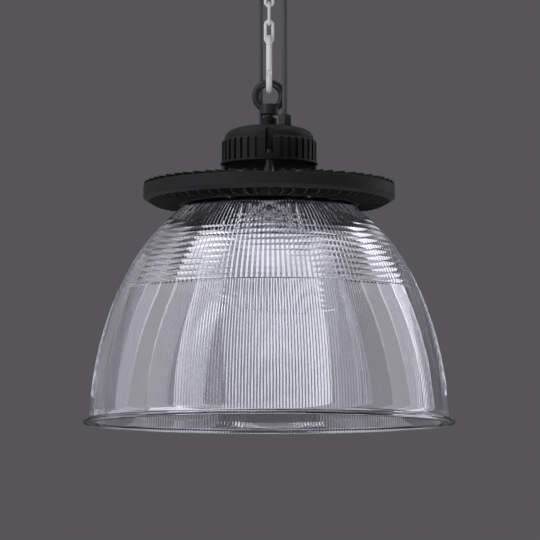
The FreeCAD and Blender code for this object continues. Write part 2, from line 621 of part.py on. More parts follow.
def snapHook():
    wire = "hookWire / 2"
    top = bend("hookTop", "hookBendRadius", wire, z="hookBendRise", sweep=180)
    bottom = bend("hookBottom", "hookBendRadius", wire, z="-hookBendRise", sweep=180,
                  turn=FreeCAD.Rotation(FreeCAD.Vector(1, 0, 0), -90))
    spine = cylinder("hookSpine", wire, "2 * hookBendRise", x="hookBendRadius", z="-hookBendRise")
    column = block("noseColumn", "hookWire + 2", "hookWire + 2", "gateReach + gateTongue + 2",
                   x="-hookBendRadius", z=pinHeight)
    reach = common("noseReach", column, sideways("noseArc", "gateReach", "hookWire + 4", pinHeight))
    behind = block("noseBehind", "hookBendRadius", "hookWire + 2", "gateReach + gateTongue + 2",
                   x="-hookBendRadius / 2 - gateClearance / 2", z=pinHeight)
    lap = common("noseLap", behind, sideways("lapArc", "gateReach + gateTongue + gateClearance",
                                             "hookWire + 4", pinHeight))
    forkRoom = sideways("forkRoom", "hookWire / 2 + gateClearance", "hookWire + 2", pinHeight)
    bent = cut("hookBent", fuse("hookBar", top, bottom, spine), reach, lap, forkRoom, saddleRoom())
    tongue = block("earTongue", "hookWire", "earThickness", "hingeHeight + 1", x="-hookBendRadius",
                   z="-hookBendRise - 1")
    eye = sideways("earEye", "hookWire / 2", "earThickness", pinHeight)
    pinHole = sideways("earPinHole", "gatePinRadius", "hookWire + 4", pinHeight)
    inHookPlane("snap_hook", cut("snapHook", fuse("hookWithEar", bent, tongue, eye), pinHole))


def snapHookGate():
    rod = cylinder("gateRod", "gateRodRadius", "gateReach + gateTongue + 2", x="-hookBendRadius", z=pinHeight)
    shortArc = sideways("gateArc", "gateReach - gateClearance", "hookWire + 4", pinHeight)
    longArc = sideways("tongueArc", "gateReach + gateTongue", "hookWire + 4", pinHeight)
    inner = block("gateInner", "hookWire", "hookWire + 4", "gateReach + gateTongue + 2",
                  x="-hookBendRadius + hookWire / 2 + gateClearance / 2", z=pinHeight)
    profile = fuse("gateProfile", shortArc, common("gateTongueRoom", longArc, inner))
    heel = sideways("gateHeel", "hookWire / 2", "gateHeelWidth", pinHeight)
    bar = fuse("gateBar", common("gateShaped", rod, profile), heel)
    fork = block("gateFork", "hookWire + 2", "earThickness + 2 * gateClearance", "2 * hookWire",
                 x="-hookBendRadius", z=f"{pinHeight} - hookWire * 1.5 - gateClearance")
    forkTop = sideways("gateForkTop", "hookWire / 2 + gateClearance", "earThickness + 2 * gateClearance",
                       pinHeight)
    pinHole = sideways("gatePinHole", "gatePinRadius + runningClearance", "hookWire + 4", pinHeight)
    bore = cylinder("springBore", "springRadius + runningClearance", "hookWire / 2 + gateClearance"
                    " + springLength", x="-hookBendRadius", z=pinHeight)
    inHookPlane("snap_hook_gate", cut("snapHookGate", bar, fork, forkTop, pinHole, bore))


def gatePin():
    subPart("gate_pin", cylinder("gatePin", "gatePinRadius", "gateHeelWidth", x="-gateHeelWidth / 2",
                                 y="-hookBendRadius", z="gatePinZ", turn=alongX))


def gateSpring():
    outer = cylinder("springOutside", "springRadius", "springLength", x="-hookBendRadius",
                     z=f"{pinHeight} + hookWire / 2 + gateClearance")
    inner = cylinder("springInside", "springRadius - springWire", "springLength + 2", x="-hookBendRadius",
                     z=f"{pinHeight} + hookWire / 2 + gateClearance - 1")
    inHookPlane("gate_spring", cut("gateSpring", outer, inner))


# ---- eye bolt ----

def eyeBolt():
    ring = bend("eyeBoltRing", "eyeBoltInnerRadius + eyeBoltWireRadius", "eyeBoltWireRadius", z="eyeBoltZ")
    collar = turned("eyeBoltCollar", [
        (0, 0), ("eyeBoltCollarRadius - 1", 0), ("eyeBoltCollarRadius", 1, 1),
        ("eyeBoltCollarRadius", "eyeBoltCollarHeight - 1.5"),
        ("eyeBoltCollarRadius - 1.5", "eyeBoltCollarHeight", 1.5), (0, "eyeBoltCollarHeight"),
    ], z="eyeBoltSeat")
    thread = cylinder("eyeBoltThread", "eyeBoltThreadRadius", "eyeBoltThreadLength",
                      z="eyeBoltSeat - eyeBoltThreadLength")
    subPart("eye_bolt", fuse("eyeBolt", ring, collar, thread))


def eyeBoltFasteners():
    bore = "eyeBoltThreadRadius + runningClearance"
    subPart("eye_bolt_spacer", tube("eyeBoltSpacer", "eyeBoltSpacerRadius", bore, "eyeBoltSpacerHeight",
                                    z="bossTop"))
    subPart("eye_bolt_washer", tube("eyeBoltWasher", "eyeBoltWasherRadius", bore, "eyeBoltWasherThickness",
                                    z="domeInside - eyeBoltWasherThickness"))
    nutTop = "domeInside - eyeBoltWasherThickness"
    nut = hexagon("eyeBoltNutHexagon", "eyeBoltNutWidth", "eyeBoltNutThickness",
                  z=f"{nutTop} - eyeBoltNutThickness")
    hole = cylinder("eyeBoltNutThread", bore, "eyeBoltNutThickness + 2",
                    z=f"{nutTop} - eyeBoltNutThickness - 1")
    subPart("eye_bolt_nut", cut("eyeBoltNut", nut, hole))


# ---- driver housing ----

def driverHousing():
    outside = turned("housingOutside", [
        (0, 0), ("housingRadius", 0), ("housingRadius", "drumHeight"),
        ("domeRadius", "drumHeight + chamferHeight"),
        ("domeRadius", "drumHeight + chamferHeight + domeFoot"),
        ("domeCornerReach", "housingHeight - domeCornerDrop", "domeCornerRadius"),
        ("domeShoulderReach", "housingHeight - domeShoulderDrop", "domeShoulderRadius"),
        (0, "housingHeight", "domeCrownRadius"),
    ], z="housingBase")
    boss = turned("eyeBoltBoss", [
        (0, 0), ("bossRadius", 0), ("bossRadius", "bossHeight + domeWall - bossEdge"),
        ("bossRadius - bossEdge", "bossHeight + domeWall", "bossEdge"), (0, "bossHeight + domeWall"),
    ], z="domeInside")
    pads = [cylinder("mainsPad", "glandPadRadius", "domeWall + glandPadHeight", x="mainsX", y="mainsY",
                     z="domeInside"),
            cylinder("controlPad", "controlRadius + cableClearance + grommetWall + grommetLip + 0.5",
                     "domeWall + glandPadHeight", x="controlX", y="controlY", z="domeInside")]
    cavityWall = "housingRadius - housingWall"
    cavity = turned("housingCavity", [
        (0, -1), ("housingFloorRadius", -1), ("housingFloorRadius", "housingFloor"),
        (cavityWall, "housingFloor"), (cavityWall, "drumHeight - housingWall / 2"),
        ("domeRadius - domeWall", "drumHeight + chamferHeight - housingWall / 2"),
        ("domeRadius - domeWall", "drumHeight + chamferHeight + domeFoot - domeWall / 4"),
        ("domeCornerReach - domeWall * 0.8", "housingHeight - domeCornerDrop - domeWall * 0.9",
         "domeCornerRadius - domeWall"),
        ("ceilingReach", "housingHeight - domeWall", "domeShoulderRadius - domeWall"),
        (0, "housingHeight - domeWall"),
    ], z="housingBase")
    tall = "housingHeight + 10"
    sleeveBar = block("sleeveBar", "housingRadius", "2 * (channelRadius + channelWall)", tall,
                      x="pillarCircle + housingRadius / 2")
    sleeve = fuse("channelSleeve", cylinder("sleeveEnd", "channelRadius + channelWall", tall,
                                            x="pillarCircle"), sleeveBar)
    sleeves = [copy(f"channelSleeve{turn}", sleeve, z="housingBase", angle=turn * 360 / pillarCount)
               for turn in range(pillarCount)]
    sleeveWalls = common("channelWalls", fuse("channelSleeves", *sleeves), outside)
    shell = fuse("housingShell", cut("housingHollow", fuse("housingBlank", outside, boss, *pads), cavity),
                 sleeveWalls)
    channelBar = block("channelBar", "housingRadius", "2 * channelRadius", tall,
                       x="pillarCircle + housingRadius / 2")
    channel = fuse("screwChannel", cylinder("channelEnd", "channelRadius", tall, x="pillarCircle"),
                   channelBar)
    channels = [copy(f"screwChannel{turn}", channel, z="channelFloorZ", angle=turn * 360 / pillarCount)
                for turn in range(pillarCount)]
    screwHole = cylinder("housingScrewHole", "housingScrewRadius + screwHoleClearance", tall)
    screwHoles = onCircle("housingScrewHole", screwHole, "pillarCircle", pillarCount, z="housingBase - 1")
    recessBar = block("recessBar", "2 * recessDepth", "recessWidth", "recessHeight - recessWidth / 2",
                      x="housingRadius")
    recessTop = cylinder("recessTop", "recessWidth / 2", "2 * recessDepth",
                         x="housingRadius - recessDepth", z="recessHeight - recessWidth / 2", turn=alongX)
    recess = fuse("wallRecess", recessBar, recessTop)
    recesses = [copy(f"wallRecess{turn}{number}", recess, z="housingBase",
                     angle=f"{turn} * 360 / {pillarCount} + recessFirstAngle + {number} * recessPitch")
                for turn in range(pillarCount) for number in range(recessesInAQuarter)]
    groove = tube("gasketGroove", "gasketRadius", "gasketRadius - gasketWidth", "gasketThickness + 1",
                  z="housingBase - 1")
    eyeHole = cylinder("eyeBoltHole", "eyeBoltThreadRadius + screwHoleClearance", tall,
                       z="domeInside - 1")
    mainsHole = cylinder("mainsHole", "glandSpigotRadius + runningClearance", tall, x="mainsX", y="mainsY",
                         z="domeInside - 8")
    controlHole = cylinder("controlHole", "controlRadius + cableClearance + grommetWall", tall,
                           x="controlX", y="controlY", z="domeInside - 8")
    subPart("driver_housing", cut("driverHousing", shell, *channels, *screwHoles, *recesses, groove, eyeHole,
                                  mainsHole, controlHole))
    subPart("housing_gasket", tube("housingGasket", "gasketRadius", "gasketRadius - gasketWidth",
                                   "gasketThickness", z="housingBase"))


def basePlate():
    plate = turned("basePlateDisc", [
        ("nippleRadius + runningClearance", 0), ("basePlateRadius - 1", 0), ("basePlateRadius", 1, 1),
        ("basePlateRadius", "basePlateThickness - 0.6"), ("basePlateRadius - 0.6", "basePlateThickness"),
        ("nippleRadius + runningClearance", "basePlateThickness"),
    ], z="basePlateBottom")
    hole = cylinder("basePlateHole", "housingScrewRadius + screwHoleClearance", "basePlateThickness + 2")
    standoffHole = cylinder("standoffSeat", "standoffRadius", "1")
    seats = onCircle("standoffSeat", standoffHole, "standoffCircle", pillarCount, z="housingBase - 1",
                     first=45)
    holes = onCircle("basePlateHole", hole, "pillarCircle", pillarCount, z="basePlateBottom - 1")
    subPart("housing_base_plate", cut("basePlate", plate, *holes, *seats))


def pillarsAndScrews():
    pillar = tube("pillarTube", "pillarRadius", "housingScrewRadius + screwHoleClearance", "pillarHeight")
    pillars = onCircle("pillar", pillar, "pillarCircle", pillarCount, z="finTop")
    subPart("housing_pillars", group("pillars", *pillars))
    length = "channelFloor + basePlateThickness + pillarHeight + housingScrewGrip"
    housingScrew = screw("housingScrew", "housingScrewRadius", length, "housingScrewHeadRadius",
                         "housingScrewHeadHeight", "housingScrewSocket")
    screws = onCircle("housingScrew", housingScrew, "pillarCircle", pillarCount, z="channelFloorZ")
    subPart("housing_screws", group("housingScrews", *screws))


def wireNipple():
    top = "housingBase + nippleRise"
    subPart("wire_nipple", tube("wireNipple", "nippleRadius", "nippleBore",
                                f"{top} - deck - nippleSeat", z="deck + nippleSeat"))
    nut = hexagon("nippleNutHexagon", "nippleNutWidth", "nippleNutThickness", z="housingBase")
    hole = cylinder("nippleNutThread", "nippleRadius + runningClearance", "nippleNutThickness + 2",
                    z="housingBase - 1")
    subPart("nipple_nut", cut("nippleNut", nut, hole))
    foot = "deck - padThickness"
    leads = [cylinder(f"lead{side}", "leadRadius", f"housingBase + driverLevel - ({foot})",
                      x=f"{sign}leadOffset", z=foot) for side, sign in (("Left", "-"), ("Right", ""))]
    subPart("led_leads", group("ledLeads", *leads))


# ---- driver ----

def driver():
    board = cylinder("driverDisc", "driverRadius", "driverThickness", z="housingBase + driverLevel")
    boardHole = cylinder("driverHole", "standoffScrewRadius + screwHoleClearance", "driverThickness + 2")
    holes = onCircle("driverHole", boardHole, "standoffCircle", pillarCount,
                     z="housingBase + driverLevel - 1", first=45)
    subPart("driver_board", cut("driverBoard", board, *holes))
    standoff = tube("standoffPost", "standoffRadius", "standoffScrewRadius + runningClearance",
                    "driverLevel + 1")
    posts = onCircle("standoff", standoff, "standoffCircle", pillarCount, z="housingBase - 1", first=45)
    subPart("driver_standoffs", group("standoffs", *posts))
    fixing = screw("driverScrew", "standoffScrewRadius", "driverThickness + standoffScrewGrip",
                   "standoffScrewHeadRadius", "standoffScrewHeadHeight", "smallScrewSocket")
    fixings = onCircle("driverScrew", fixing, "standoffCircle", pillarCount, z="driverTop", first=45)
    subPart("driver_screws", group("driverScrews", *fixings))
    core = block("transformerCore", "transformerLength", "transformerWidth", "transformerHeight",
                 x="transformerX", y="transformerY", z="driverTop")
    winding = cylinder("transformerWinding", "transformerHeight / 2 - 1", "transformerLength - 8",
                       x="transformerX - transformerLength / 2 + 4", y="transformerY",
                       z="driverTop + transformerHeight / 2", turn=alongX)
    window = block("transformerWindow", "transformerLength - 8", "transformerWidth + 2",
                   "transformerHeight - 8", x="transformerX", y="transformerY", z="driverTop + 4")
    subPart("driver_transformer", fuse("transformer", cut("transformerFrame", core, window), winding))
    capacitor = turned("capacitorCan", [
        (0, 0), ("capacitorRadius", 0), ("capacitorRadius", "capacitorHeight - 0.8"),
        ("capacitorRadius - 0.8", "capacitorHeight", 0.8), (0, "capacitorHeight"),
    ])
    cans = [copy(f"capacitor{number}", capacitor, x=f"capacitorX - {number} * capacitorSpacing",
                 y="capacitorY", z="driverTop") for number in range(3)]
    subPart("driver_capacitors", group("capacitors", *cans))
    choke = doc.addObject("Part::Torus", "choke")
    subPart("driver_choke", bind(choke, Radius1="chokeRadius", Radius2="chokeThickness / 2", x="chokeX",
                                 y="chokeY", z="driverTop + chokeThickness / 2"))
    terminal = block("terminalBody", "terminalLength", "terminalWidth", "terminalHeight", x="terminalX",
                     y="terminalY", z="driverTop")
    wireHoles = [cylinder(f"terminalHole{number}", "terminalHoleRadius", "terminalWidth / 2 + 1",
                          x=f"terminalX + {number - 1} * terminalHoleSpacing", y="terminalY",
                          z="driverTop + terminalHoleHeight", turn=alongY) for number in range(3)]
    subPart("terminal_block", cut("terminalBlock", terminal, *wireHoles))


# ---- cable entries and cables ----

def mainsGland():
    place = {"x": "mainsX", "y": "mainsY"}
    bore = "mainsRadius + cableClearance"
    hexBody = hexagon("glandHexagon", "glandWidth", "glandFlange", z="glandSeat", **place)
    spigot = cylinder("glandSpigot", "glandSpigotRadius", "glandSpigotLength + 1",
                      z="glandSeat - glandSpigotLength", **place)
    neck = cylinder("glandNeck", "glandNeckRadius", "glandFlange + glandNeckHeight", z="glandSeat", **place)
    hole = cylinder("glandBore", bore, "glandSpigotLength + glandFlange + glandNeckHeight + 2",
                    z="glandSeat - glandSpigotLength - 1", **place)
    subPart("mains_gland_body", cut("glandBody", fuse("glandBlank", hexBody, spigot, neck), hole))
    capFoot = "glandSeat + glandFlange"
    capHexagon = hexagon("capHexagon", "glandWidth", "capHeight", z=capFoot, **place)
    capOutline = turned("capOutline", [
        (0, 0), ("glandWidth / 2 / cos(30)", 0), ("glandWidth / 2 / cos(30)", "capHeight - capTaper"),
        ("capTopRadius", "capHeight", "capTaper * 1.1"), (0, "capHeight"),
    ], z=capFoot, **place)
    roomRadius = "glandNeckRadius + runningClearance"
    room = cylinder("capRoom", roomRadius, "glandNeckHeight + sealHeight + 1", z=f"{capFoot} - 1", **place)
    mouth = cylinder("capMouth", bore, "capHeight + 2", z=f"{capFoot} - 1", **place)
    subPart("mains_gland_cap", cut("glandCap", common("capBlank", capHexagon, capOutline), room, mouth))
    subPart("mains_gland_seal", tube("glandSeal", "glandNeckRadius", bore, "sealHeight",
                                     z=f"{capFoot} + glandNeckHeight", **place))
    locknut = hexagon("locknutHexagon", "locknutWidth", "locknutThickness",
                      z="domeInside - locknutThickness", **place)
    thread = cylinder("locknutThread", "glandSpigotRadius + runningClearance", "locknutThickness + 2",
                      z="domeInside - locknutThickness - 1", **place)
    subPart("mains_gland_locknut", cut("glandLocknut", locknut, thread))


def grommet(label, cable, wallTop, wall):
    """A rubber ring with a flange on each side of a wall, round a cable."""
    bore = f"{cable}Radius + cableClearance"
    sleeve = f"{bore} + grommetWall"
    lip = f"{sleeve} + grommetLip"
    subPart(label, turned(label + "Ring", [
        (bore, 0), (f"{lip} - 0.6", 0), (lip, 0.6, 0.6), (lip, "grommetFlange"),
        (sleeve, "grommetFlange"), (sleeve, f"grommetFlange + {wall}"), (lip, f"grommetFlange + {wall}"),
        (lip, f"2 * grommetFlange + {wall} - 0.6"), (f"{lip} - 0.6", f"2 * grommetFlange + {wall}", 0.6),
        (bore, f"2 * grommetFlange + {wall}"),
    ], z=f"{wallTop} - {wall} - grommetFlange", x=f"{cable}X", y=f"{cable}Y"))


def connector(label, cable, width):
    """A closed connector under the ceiling plate that takes the cable's end."""
    subPart(label, block(label + "Body", width, width, "connectorHeight", x=f"{cable}X", y=f"{cable}Y",
                         z="connectorFace"))


def cable(label, cableName):
    """A straight taut cable from inside the housing to its connector in the canopy."""
    subPart(label, cylinder(label + "Run", f"{cableName}Radius", "connectorFace - cableFoot",
                            x=f"{cableName}X", y=f"{cableName}Y", z="cableFoot"))


# ---- heat sink ----

def heatSink():
    slope = "undersideRise / (heatSinkRadius - undersideRadius)"
    bandInner = "heatSinkRadius - bandThickness"
    plate = cylinder("heatSinkPlate", "plateRadius", "plateThickness", z="deck")
    hub = cylinder("heatSinkHub", "hubRadius", "finHeight", z="deck")
    foot = cylinder("pillarFoot", "footRadius", "finHeight")
    feet = onCircle("pillarFoot", foot, "pillarCircle", pillarCount, z="deck")
    band = turned("rimBand", [
        (bandInner, f"({bandInner} - undersideRadius) * {slope}"),
        ("heatSinkRadius - bandEdge", f"undersideRise - bandEdge * {slope}"),
        ("heatSinkRadius", "undersideRise + bandEdge"),
        ("heatSinkRadius", "bandTop - bandEdge"), ("heatSinkRadius - bandEdge", "bandTop"),
        (bandInner, "bandTop"),
    ], z="deck")
    finRoom = turned("finRoom", [
        ("finInnerRadius", 0), ("undersideRadius", 0), ("heatSinkRadius - bandEdge", "undersideRise"
         f" - bandEdge * {slope}"), ("heatSinkRadius - bandEdge", "finRimHeight"),
        ("finSlopeRadius", "finHeight"), ("finInnerRadius", "finHeight"),
    ], z="deck")
    fins = []
    for bay in range(int(value("finBays"))):
        for number, offset in enumerate(("0", "finSecondAngle", "finThirdAngle")):
            fin = doc.addObject("Part::Box", f"fin{bay}{number}")
            angle = f"-90 + {bay} * 360 / finBays + {offset}"
            bind(fin, Length="heatSinkRadius", Width="finThickness", Height="finHeight + 2",
                 x=f"finThickness / 2 * sin({angle})", y=f"-finThickness / 2 * cos({angle})", z="deck - 1",
                 angle=angle)
            fins.append(fin)
    finSet = common("fins", group("finBlanks", *fins), finRoom)
    cast = fuse("heatSinkCast", plate, hub, *feet, band, finSet)
    nippleHole = cylinder("nippleHole", "nippleRadius + runningClearance", "finHeight", z="deck + nippleSeat")
    leadHole = cylinder("leadHole", "nippleBore", "finHeight", z="deck - 1")
    taps = []
    for name, radius, grip, circle, count, first in (
            ("housingTap", "housingScrewRadius", None, "pillarCircle", pillarCount, 0),
            ("boardTap", "boardScrewRadius", "boardScrewGrip", "boardScrewCircle", boardScrewCount, 15),
            ("lensTap", "lensScrewRadius", "lensScrewGrip", "lensScrewCircle", lensScrewCount, 22.5),
            ("reflectorTap", "reflectorScrewRadius", "reflectorScrewGrip", "reflectorScrewCircle",
             reflectorScrewCount, 0)):
        depth = f"{grip} + 2" if grip else "housingScrewGrip + 2"
        level = "deck - 1" if grip else "finTop - housingScrewGrip - 1"
        hole = cylinder(name + "Hole", f"{radius} + runningClearance", depth)
        taps += onCircle(name, hole, circle, count, z=level, first=first)
    subPart("heat_sink", cut("heatSink", cast, nippleHole, leadHole, *taps))


# ---- LED board and lens ----

ledRings = [(ring, 6 * (ring + 1)) for ring in range(4)]


def onEveryRing(name, original, z):
    copies = []
    for ring, count in ledRings:
        copies += onCircle(f"{name}{ring}n", original, f"firstRing + {ring} * ringStep", count, z=z)
    return copies


def ledBoard():
    lowerPad = "deck - padThickness"
    pad = tube("padDisc", "padRadius", "nippleBore", "padThickness", z=lowerPad)
    board = cylinder("boardDisc", "boardRadius", "boardThickness", z="ledFace")
    hole = cylinder("boardHole", "boardScrewRadius + screwHoleClearance", "boardThickness + 4")
    padHoles = onCircle("padHole", hole, "boardScrewCircle", boardScrewCount, z="ledFace - 1", first=15)
    boardHoles = onCircle("boardHole", hole, "boardScrewCircle", boardScrewCount, z="ledFace - 1", first=15)
    subPart("thermal_pad", cut("thermalPad", pad, *padHoles))
    subPart("led_board", cut("ledBoard", board, *boardHoles))
    chip = block("ledPackage", "chipWidth", "chipWidth", "chipHeight")
    subPart("led_chips", group("ledChips", *onEveryRing("chip", chip, "ledFace - chipHeight")))
    fixing = screw("boardScrew", "boardScrewRadius", "padThickness + boardThickness + boardScrewGrip",
                   "boardScrewHeadRadius", "boardScrewHeadHeight", "smallScrewSocket", headDown=True)
    fixings = onCircle("boardScrew", fixing, "boardScrewCircle", boardScrewCount, z="ledFace", first=15)
    subPart("led_board_screws", group("boardScrews", *fixings))


def lens():
    cup = turned("lensCup", [
        (0, 0), ("lensRadius - 1", 0), ("lensRadius", 1, 1),
        ("lensRadius", "lensDepth - lensGasketThickness - lensWall"),
        ("lensFlangeRadius", "lensDepth - lensGasketThickness - lensWall"),
        ("lensFlangeRadius", "lensDepth - lensGasketThickness"),
        ("lensRadius - lensWall", "lensDepth - lensGasketThickness"),
        ("lensRadius - lensWall", "lensWall"), (0, "lensWall"),
    ], z="deck - lensDepth")
    curve = "(lensDomeRadius ^ 2 + lensDomeHeight ^ 2) / (2 * lensDomeHeight)"
    dome = turned("lensDome", [
        (0, 0), ("lensDomeRadius", "lensDomeHeight", curve), (0, "lensDomeHeight"),
    ])
    domes = onEveryRing("lensDome", dome, "deck - lensDepth - lensDomeHeight")
    subPart("lens_plate", fuse("lensPlate", cup, *domes))
    subPart("lens_gasket", tube("lensGasket", "lensFlangeRadius", "lensRadius - lensWall",
                                "lensGasketThickness", z="lensFlangeTop"))


def lensRing():
    inner = "lensRadius + lensRingClearance"
    step = "lensFlangeRadius + lensRingClearance"
    ring = turned("lensRingTurned", [
        (inner, 0), ("lensRingRadius - 1", 0), ("lensRingRadius", 1),
        ("lensRingRadius", "deck - lensRingFace"), (step, "deck - lensRingFace"),
        (step, "lensRingThickness"), (inner, "lensRingThickness"),
    ], z="lensRingFace")
    hole = cylinder("lensRingHole", "lensScrewRadius + runningClearance", "deck - lensRingFace + 2")
    holes = onCircle("lensRingHole", hole, "lensScrewCircle", lensScrewCount, z="lensRingFace - 1",
                     first=22.5)
    subPart("lens_ring", cut("lensRing", ring, *holes))
    fixing = screw("lensScrew", "lensScrewRadius", "deck - lensRingFace + lensScrewGrip",
                   "lensScrewHeadRadius", "lensScrewHeadHeight", "smallScrewSocket", headDown=True)
    fixings = onCircle("lensScrew", fixing, "lensScrewCircle", lensScrewCount, z="lensRingFace", first=22.5)
    subPart("lens_ring_screws", group("lensScrews", *fixings))


# ---- reflector ----

def reflector():
    def inShoulder(level, depth="reflectorWall"):
        return f"shoulderCentreR + sqrt((shoulderCurve - {depth}) ^ 2 - ({level} - shoulderCentreZ) ^ 2)"

    def inSkirt(level):
        return f"skirtCentreR + sqrt((skirtCurve - reflectorWall) ^ 2 - ({level} - skirtCentreZ) ^ 2)"

    flangeFace = "reflectorHeight - reflectorFlangeThickness"
    outline = [
        (inSkirt("0"), 0),
        ("rimRadius - rimEdge", 0), ("rimRadius", "rimEdge", "rimEdge"),
        ("rimRadius", "rimHeight - rimEdge"), ("rimRadius - rimEdge", "rimHeight", "rimEdge"),
        ("skirtRadius + skirtFoot - rimHeight", "rimHeight"),
        ("skirtRadius", "skirtFoot", "-1.5 * (skirtFoot - rimHeight)"),
        ("skirtTopRadius", "shoulderLevel", "skirtCurve"),
        ("shoulderRadius", "shoulderLevel"),
        ("neckRadius", "reflectorHeight", "shoulderCurve"),
        ("reflectorFlangeRadius", "reflectorHeight"),
        ("reflectorFlangeRadius", flangeFace),
        (inShoulder(flangeFace), flangeFace),
        (inShoulder("crossRibTop"), "crossRibTop", "-(shoulderCurve - reflectorWall)"),
    ]
    for rib in reversed(range(int(value("crossRibCount")))):
        middle = f"(shoulderLevel + ({rib} + 0.5) * crossRibPitch)"
        foot = f"(shoulderLevel + {rib} * crossRibPitch)"
        outline.append((inShoulder(middle, "reflectorWall - crossRibHeight"), middle))
        outline.append((inShoulder(foot), foot))
    outline[-1] = (inSkirt("shoulderLevel"), "shoulderLevel")
    outline[0] = (inSkirt("0"), 0, "-(skirtCurve - reflectorWall)")
    bell = turned("reflectorBell", outline, z="rimZ")
    hole = cylinder("flangeHole", "reflectorScrewRadius + screwHoleClearance", "reflectorFlangeThickness + 2")
    holes = onCircle("flangeHole", hole, "reflectorScrewCircle", reflectorScrewCount,
                     z="deck - reflectorFlangeThickness - 1")
    subPart("reflector", cut("reflectorMoulded", bell, *holes))
    ring = tube("clampRingTurned", "clampRingRadius", "reflectorFlangeRadius", "clampRingThickness",
                z="clampRingFace")
    clampHole = cylinder("clampHole", "reflectorScrewRadius + screwHoleClearance", "clampRingThickness + 2")
    clampHoles = onCircle("clampHole", clampHole, "reflectorScrewCircle", reflectorScrewCount,
                          z="clampRingFace - 1")
    subPart("reflector_clamp_ring", cut("clampRing", ring, *clampHoles))
    fixing = screw("reflectorScrew", "reflectorScrewRadius", "deck - clampRingFace + reflectorScrewGrip",
                   "reflectorScrewHeadRadius", "reflectorScrewHeadHeight", "reflectorScrewSocket",
                   headDown=True)
    fixings = onCircle("reflectorScrew", fixing, "reflectorScrewCircle", reflectorScrewCount,
                       z="clampRingFace")
    subPart("reflector_screws", group("reflectorScrews", *fixings))


ceilingPlate()
ceilingCanopy()
canopyNut()
canopyEye()
chainLink("upper_chain_link", "upperLinkZ", turn=False)
chainLink("middle_chain_link", "middleLinkZ", turn=True)
chainLink("lower_chain_link", "lowerLinkZ", turn=False)
snapHook()
snapHookGate()
gatePin()
gateSpring()
eyeBolt()
eyeBoltFasteners()
driverHousing()
basePlate()
pillarsAndScrews()
wireNipple()
driver()
mainsGland()
grommet("control_grommet", "control", "glandSeat", "(domeWall + glandPadHeight)")
grommet("mains_canopy_grommet", "mains", "(canopyWall - canopyDepth)", "canopyWall")
grommet("control_canopy_grommet", "control", "(canopyWall - canopyDepth)", "canopyWall")
connector("mains_connector", "mains", "mainsConnectorWidth")
connector("control_connector", "control", "connectorWidth")
cable("mains_cable", "mains")
cable("control_cable", "control")
heatSink()
ledBoard()
lens()
lensRing()
reflector()
doc.recompute()

faults = [thing.Label for thing in doc.Objects if {"Invalid", "Error"} & set(thing.State)]
faults += [label for label, thing in parts.items() if thing.Shape.isNull() or not thing.Shape.isValid()]
if faults:
    raise RuntimeError("not built: " + ", ".join(faults))

os.makedirs("parts", exist_ok=True)
for label, thing in parts.items():
    thing.Shape.exportStep(f"parts/{label}.step")
print(f"{len(parts)} parts written, {sum(len(thing.Shape.Solids) for thing in parts.values())} solids")
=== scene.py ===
import json
import math

import bpy
import numpy as np
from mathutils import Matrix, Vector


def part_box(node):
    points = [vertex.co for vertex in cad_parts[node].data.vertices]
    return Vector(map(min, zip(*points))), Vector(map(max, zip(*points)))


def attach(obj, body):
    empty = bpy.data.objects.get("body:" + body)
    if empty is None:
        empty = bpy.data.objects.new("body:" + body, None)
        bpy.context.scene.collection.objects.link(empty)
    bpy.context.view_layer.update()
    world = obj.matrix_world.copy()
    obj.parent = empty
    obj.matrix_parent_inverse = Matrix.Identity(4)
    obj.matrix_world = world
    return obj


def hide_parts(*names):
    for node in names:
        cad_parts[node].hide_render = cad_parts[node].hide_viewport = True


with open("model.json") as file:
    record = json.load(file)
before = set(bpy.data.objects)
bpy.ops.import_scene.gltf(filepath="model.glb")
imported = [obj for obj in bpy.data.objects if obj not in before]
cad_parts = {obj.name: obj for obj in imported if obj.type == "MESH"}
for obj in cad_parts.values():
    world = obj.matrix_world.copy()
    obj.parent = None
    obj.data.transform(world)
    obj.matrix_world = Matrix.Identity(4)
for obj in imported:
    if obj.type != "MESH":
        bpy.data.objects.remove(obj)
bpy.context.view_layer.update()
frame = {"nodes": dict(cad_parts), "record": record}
nodes = frame["nodes"]
print("frame loaded:", len(nodes), "nodes")

rootBody = "luminaire"
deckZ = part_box("reflector")[1].z        # heat sink's underside
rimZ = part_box("reflector")[0].z         # reflector's rim


cameraView = {
    "place": (0.00117, -4.8886, rimZ - 0.2678),
    "pitch": 0.0958,        # radians above the horizon
    "lens": 250.15,         # millimetres, as the sensor's width
    "sensor": 36.0,
    "clipEnd": 60.0,
}


# a camera that looks along +Y and up by its pitch
def addCamera(view):
    data = bpy.data.cameras.new("camera")
    data.sensor_width = view["sensor"]
    data.lens = view["lens"]
    data.clip_end = view["clipEnd"]
    camera = bpy.data.objects.new("camera", data)
    camera.location = view["place"]
    camera.rotation_euler = (math.pi / 2 + view["pitch"], 0, 0)
    bpy.context.scene.collection.objects.link(camera)
    bpy.context.scene.camera = camera


addCamera(cameraView)
bpy.context.scene.view_settings.view_transform = "Standard"


# a material and its Principled shader with the given sockets set
def newMaterial(name, **sockets):
    material = bpy.data.materials.new(name)
    material.use_nodes = True
    shader = material.node_tree.nodes["Principled BSDF"]
    for socket, setting in sockets.items():
        shader.inputs[socket.replace("_", " ")].default_value = setting
    return material, shader


# a shader node; each setting goes to the socket of its name, or else to the node itself
def addNode(material, kind, **settings):
    node = material.node_tree.nodes.new(kind)
    for name, setting in settings.items():
        if name in node.inputs:
            node.inputs[name].default_value = setting
        else:
            setattr(node, name, setting)
    return node


# joins an output socket to an input socket
def link(material, source, target):
    material.node_tree.links.new(source, target)


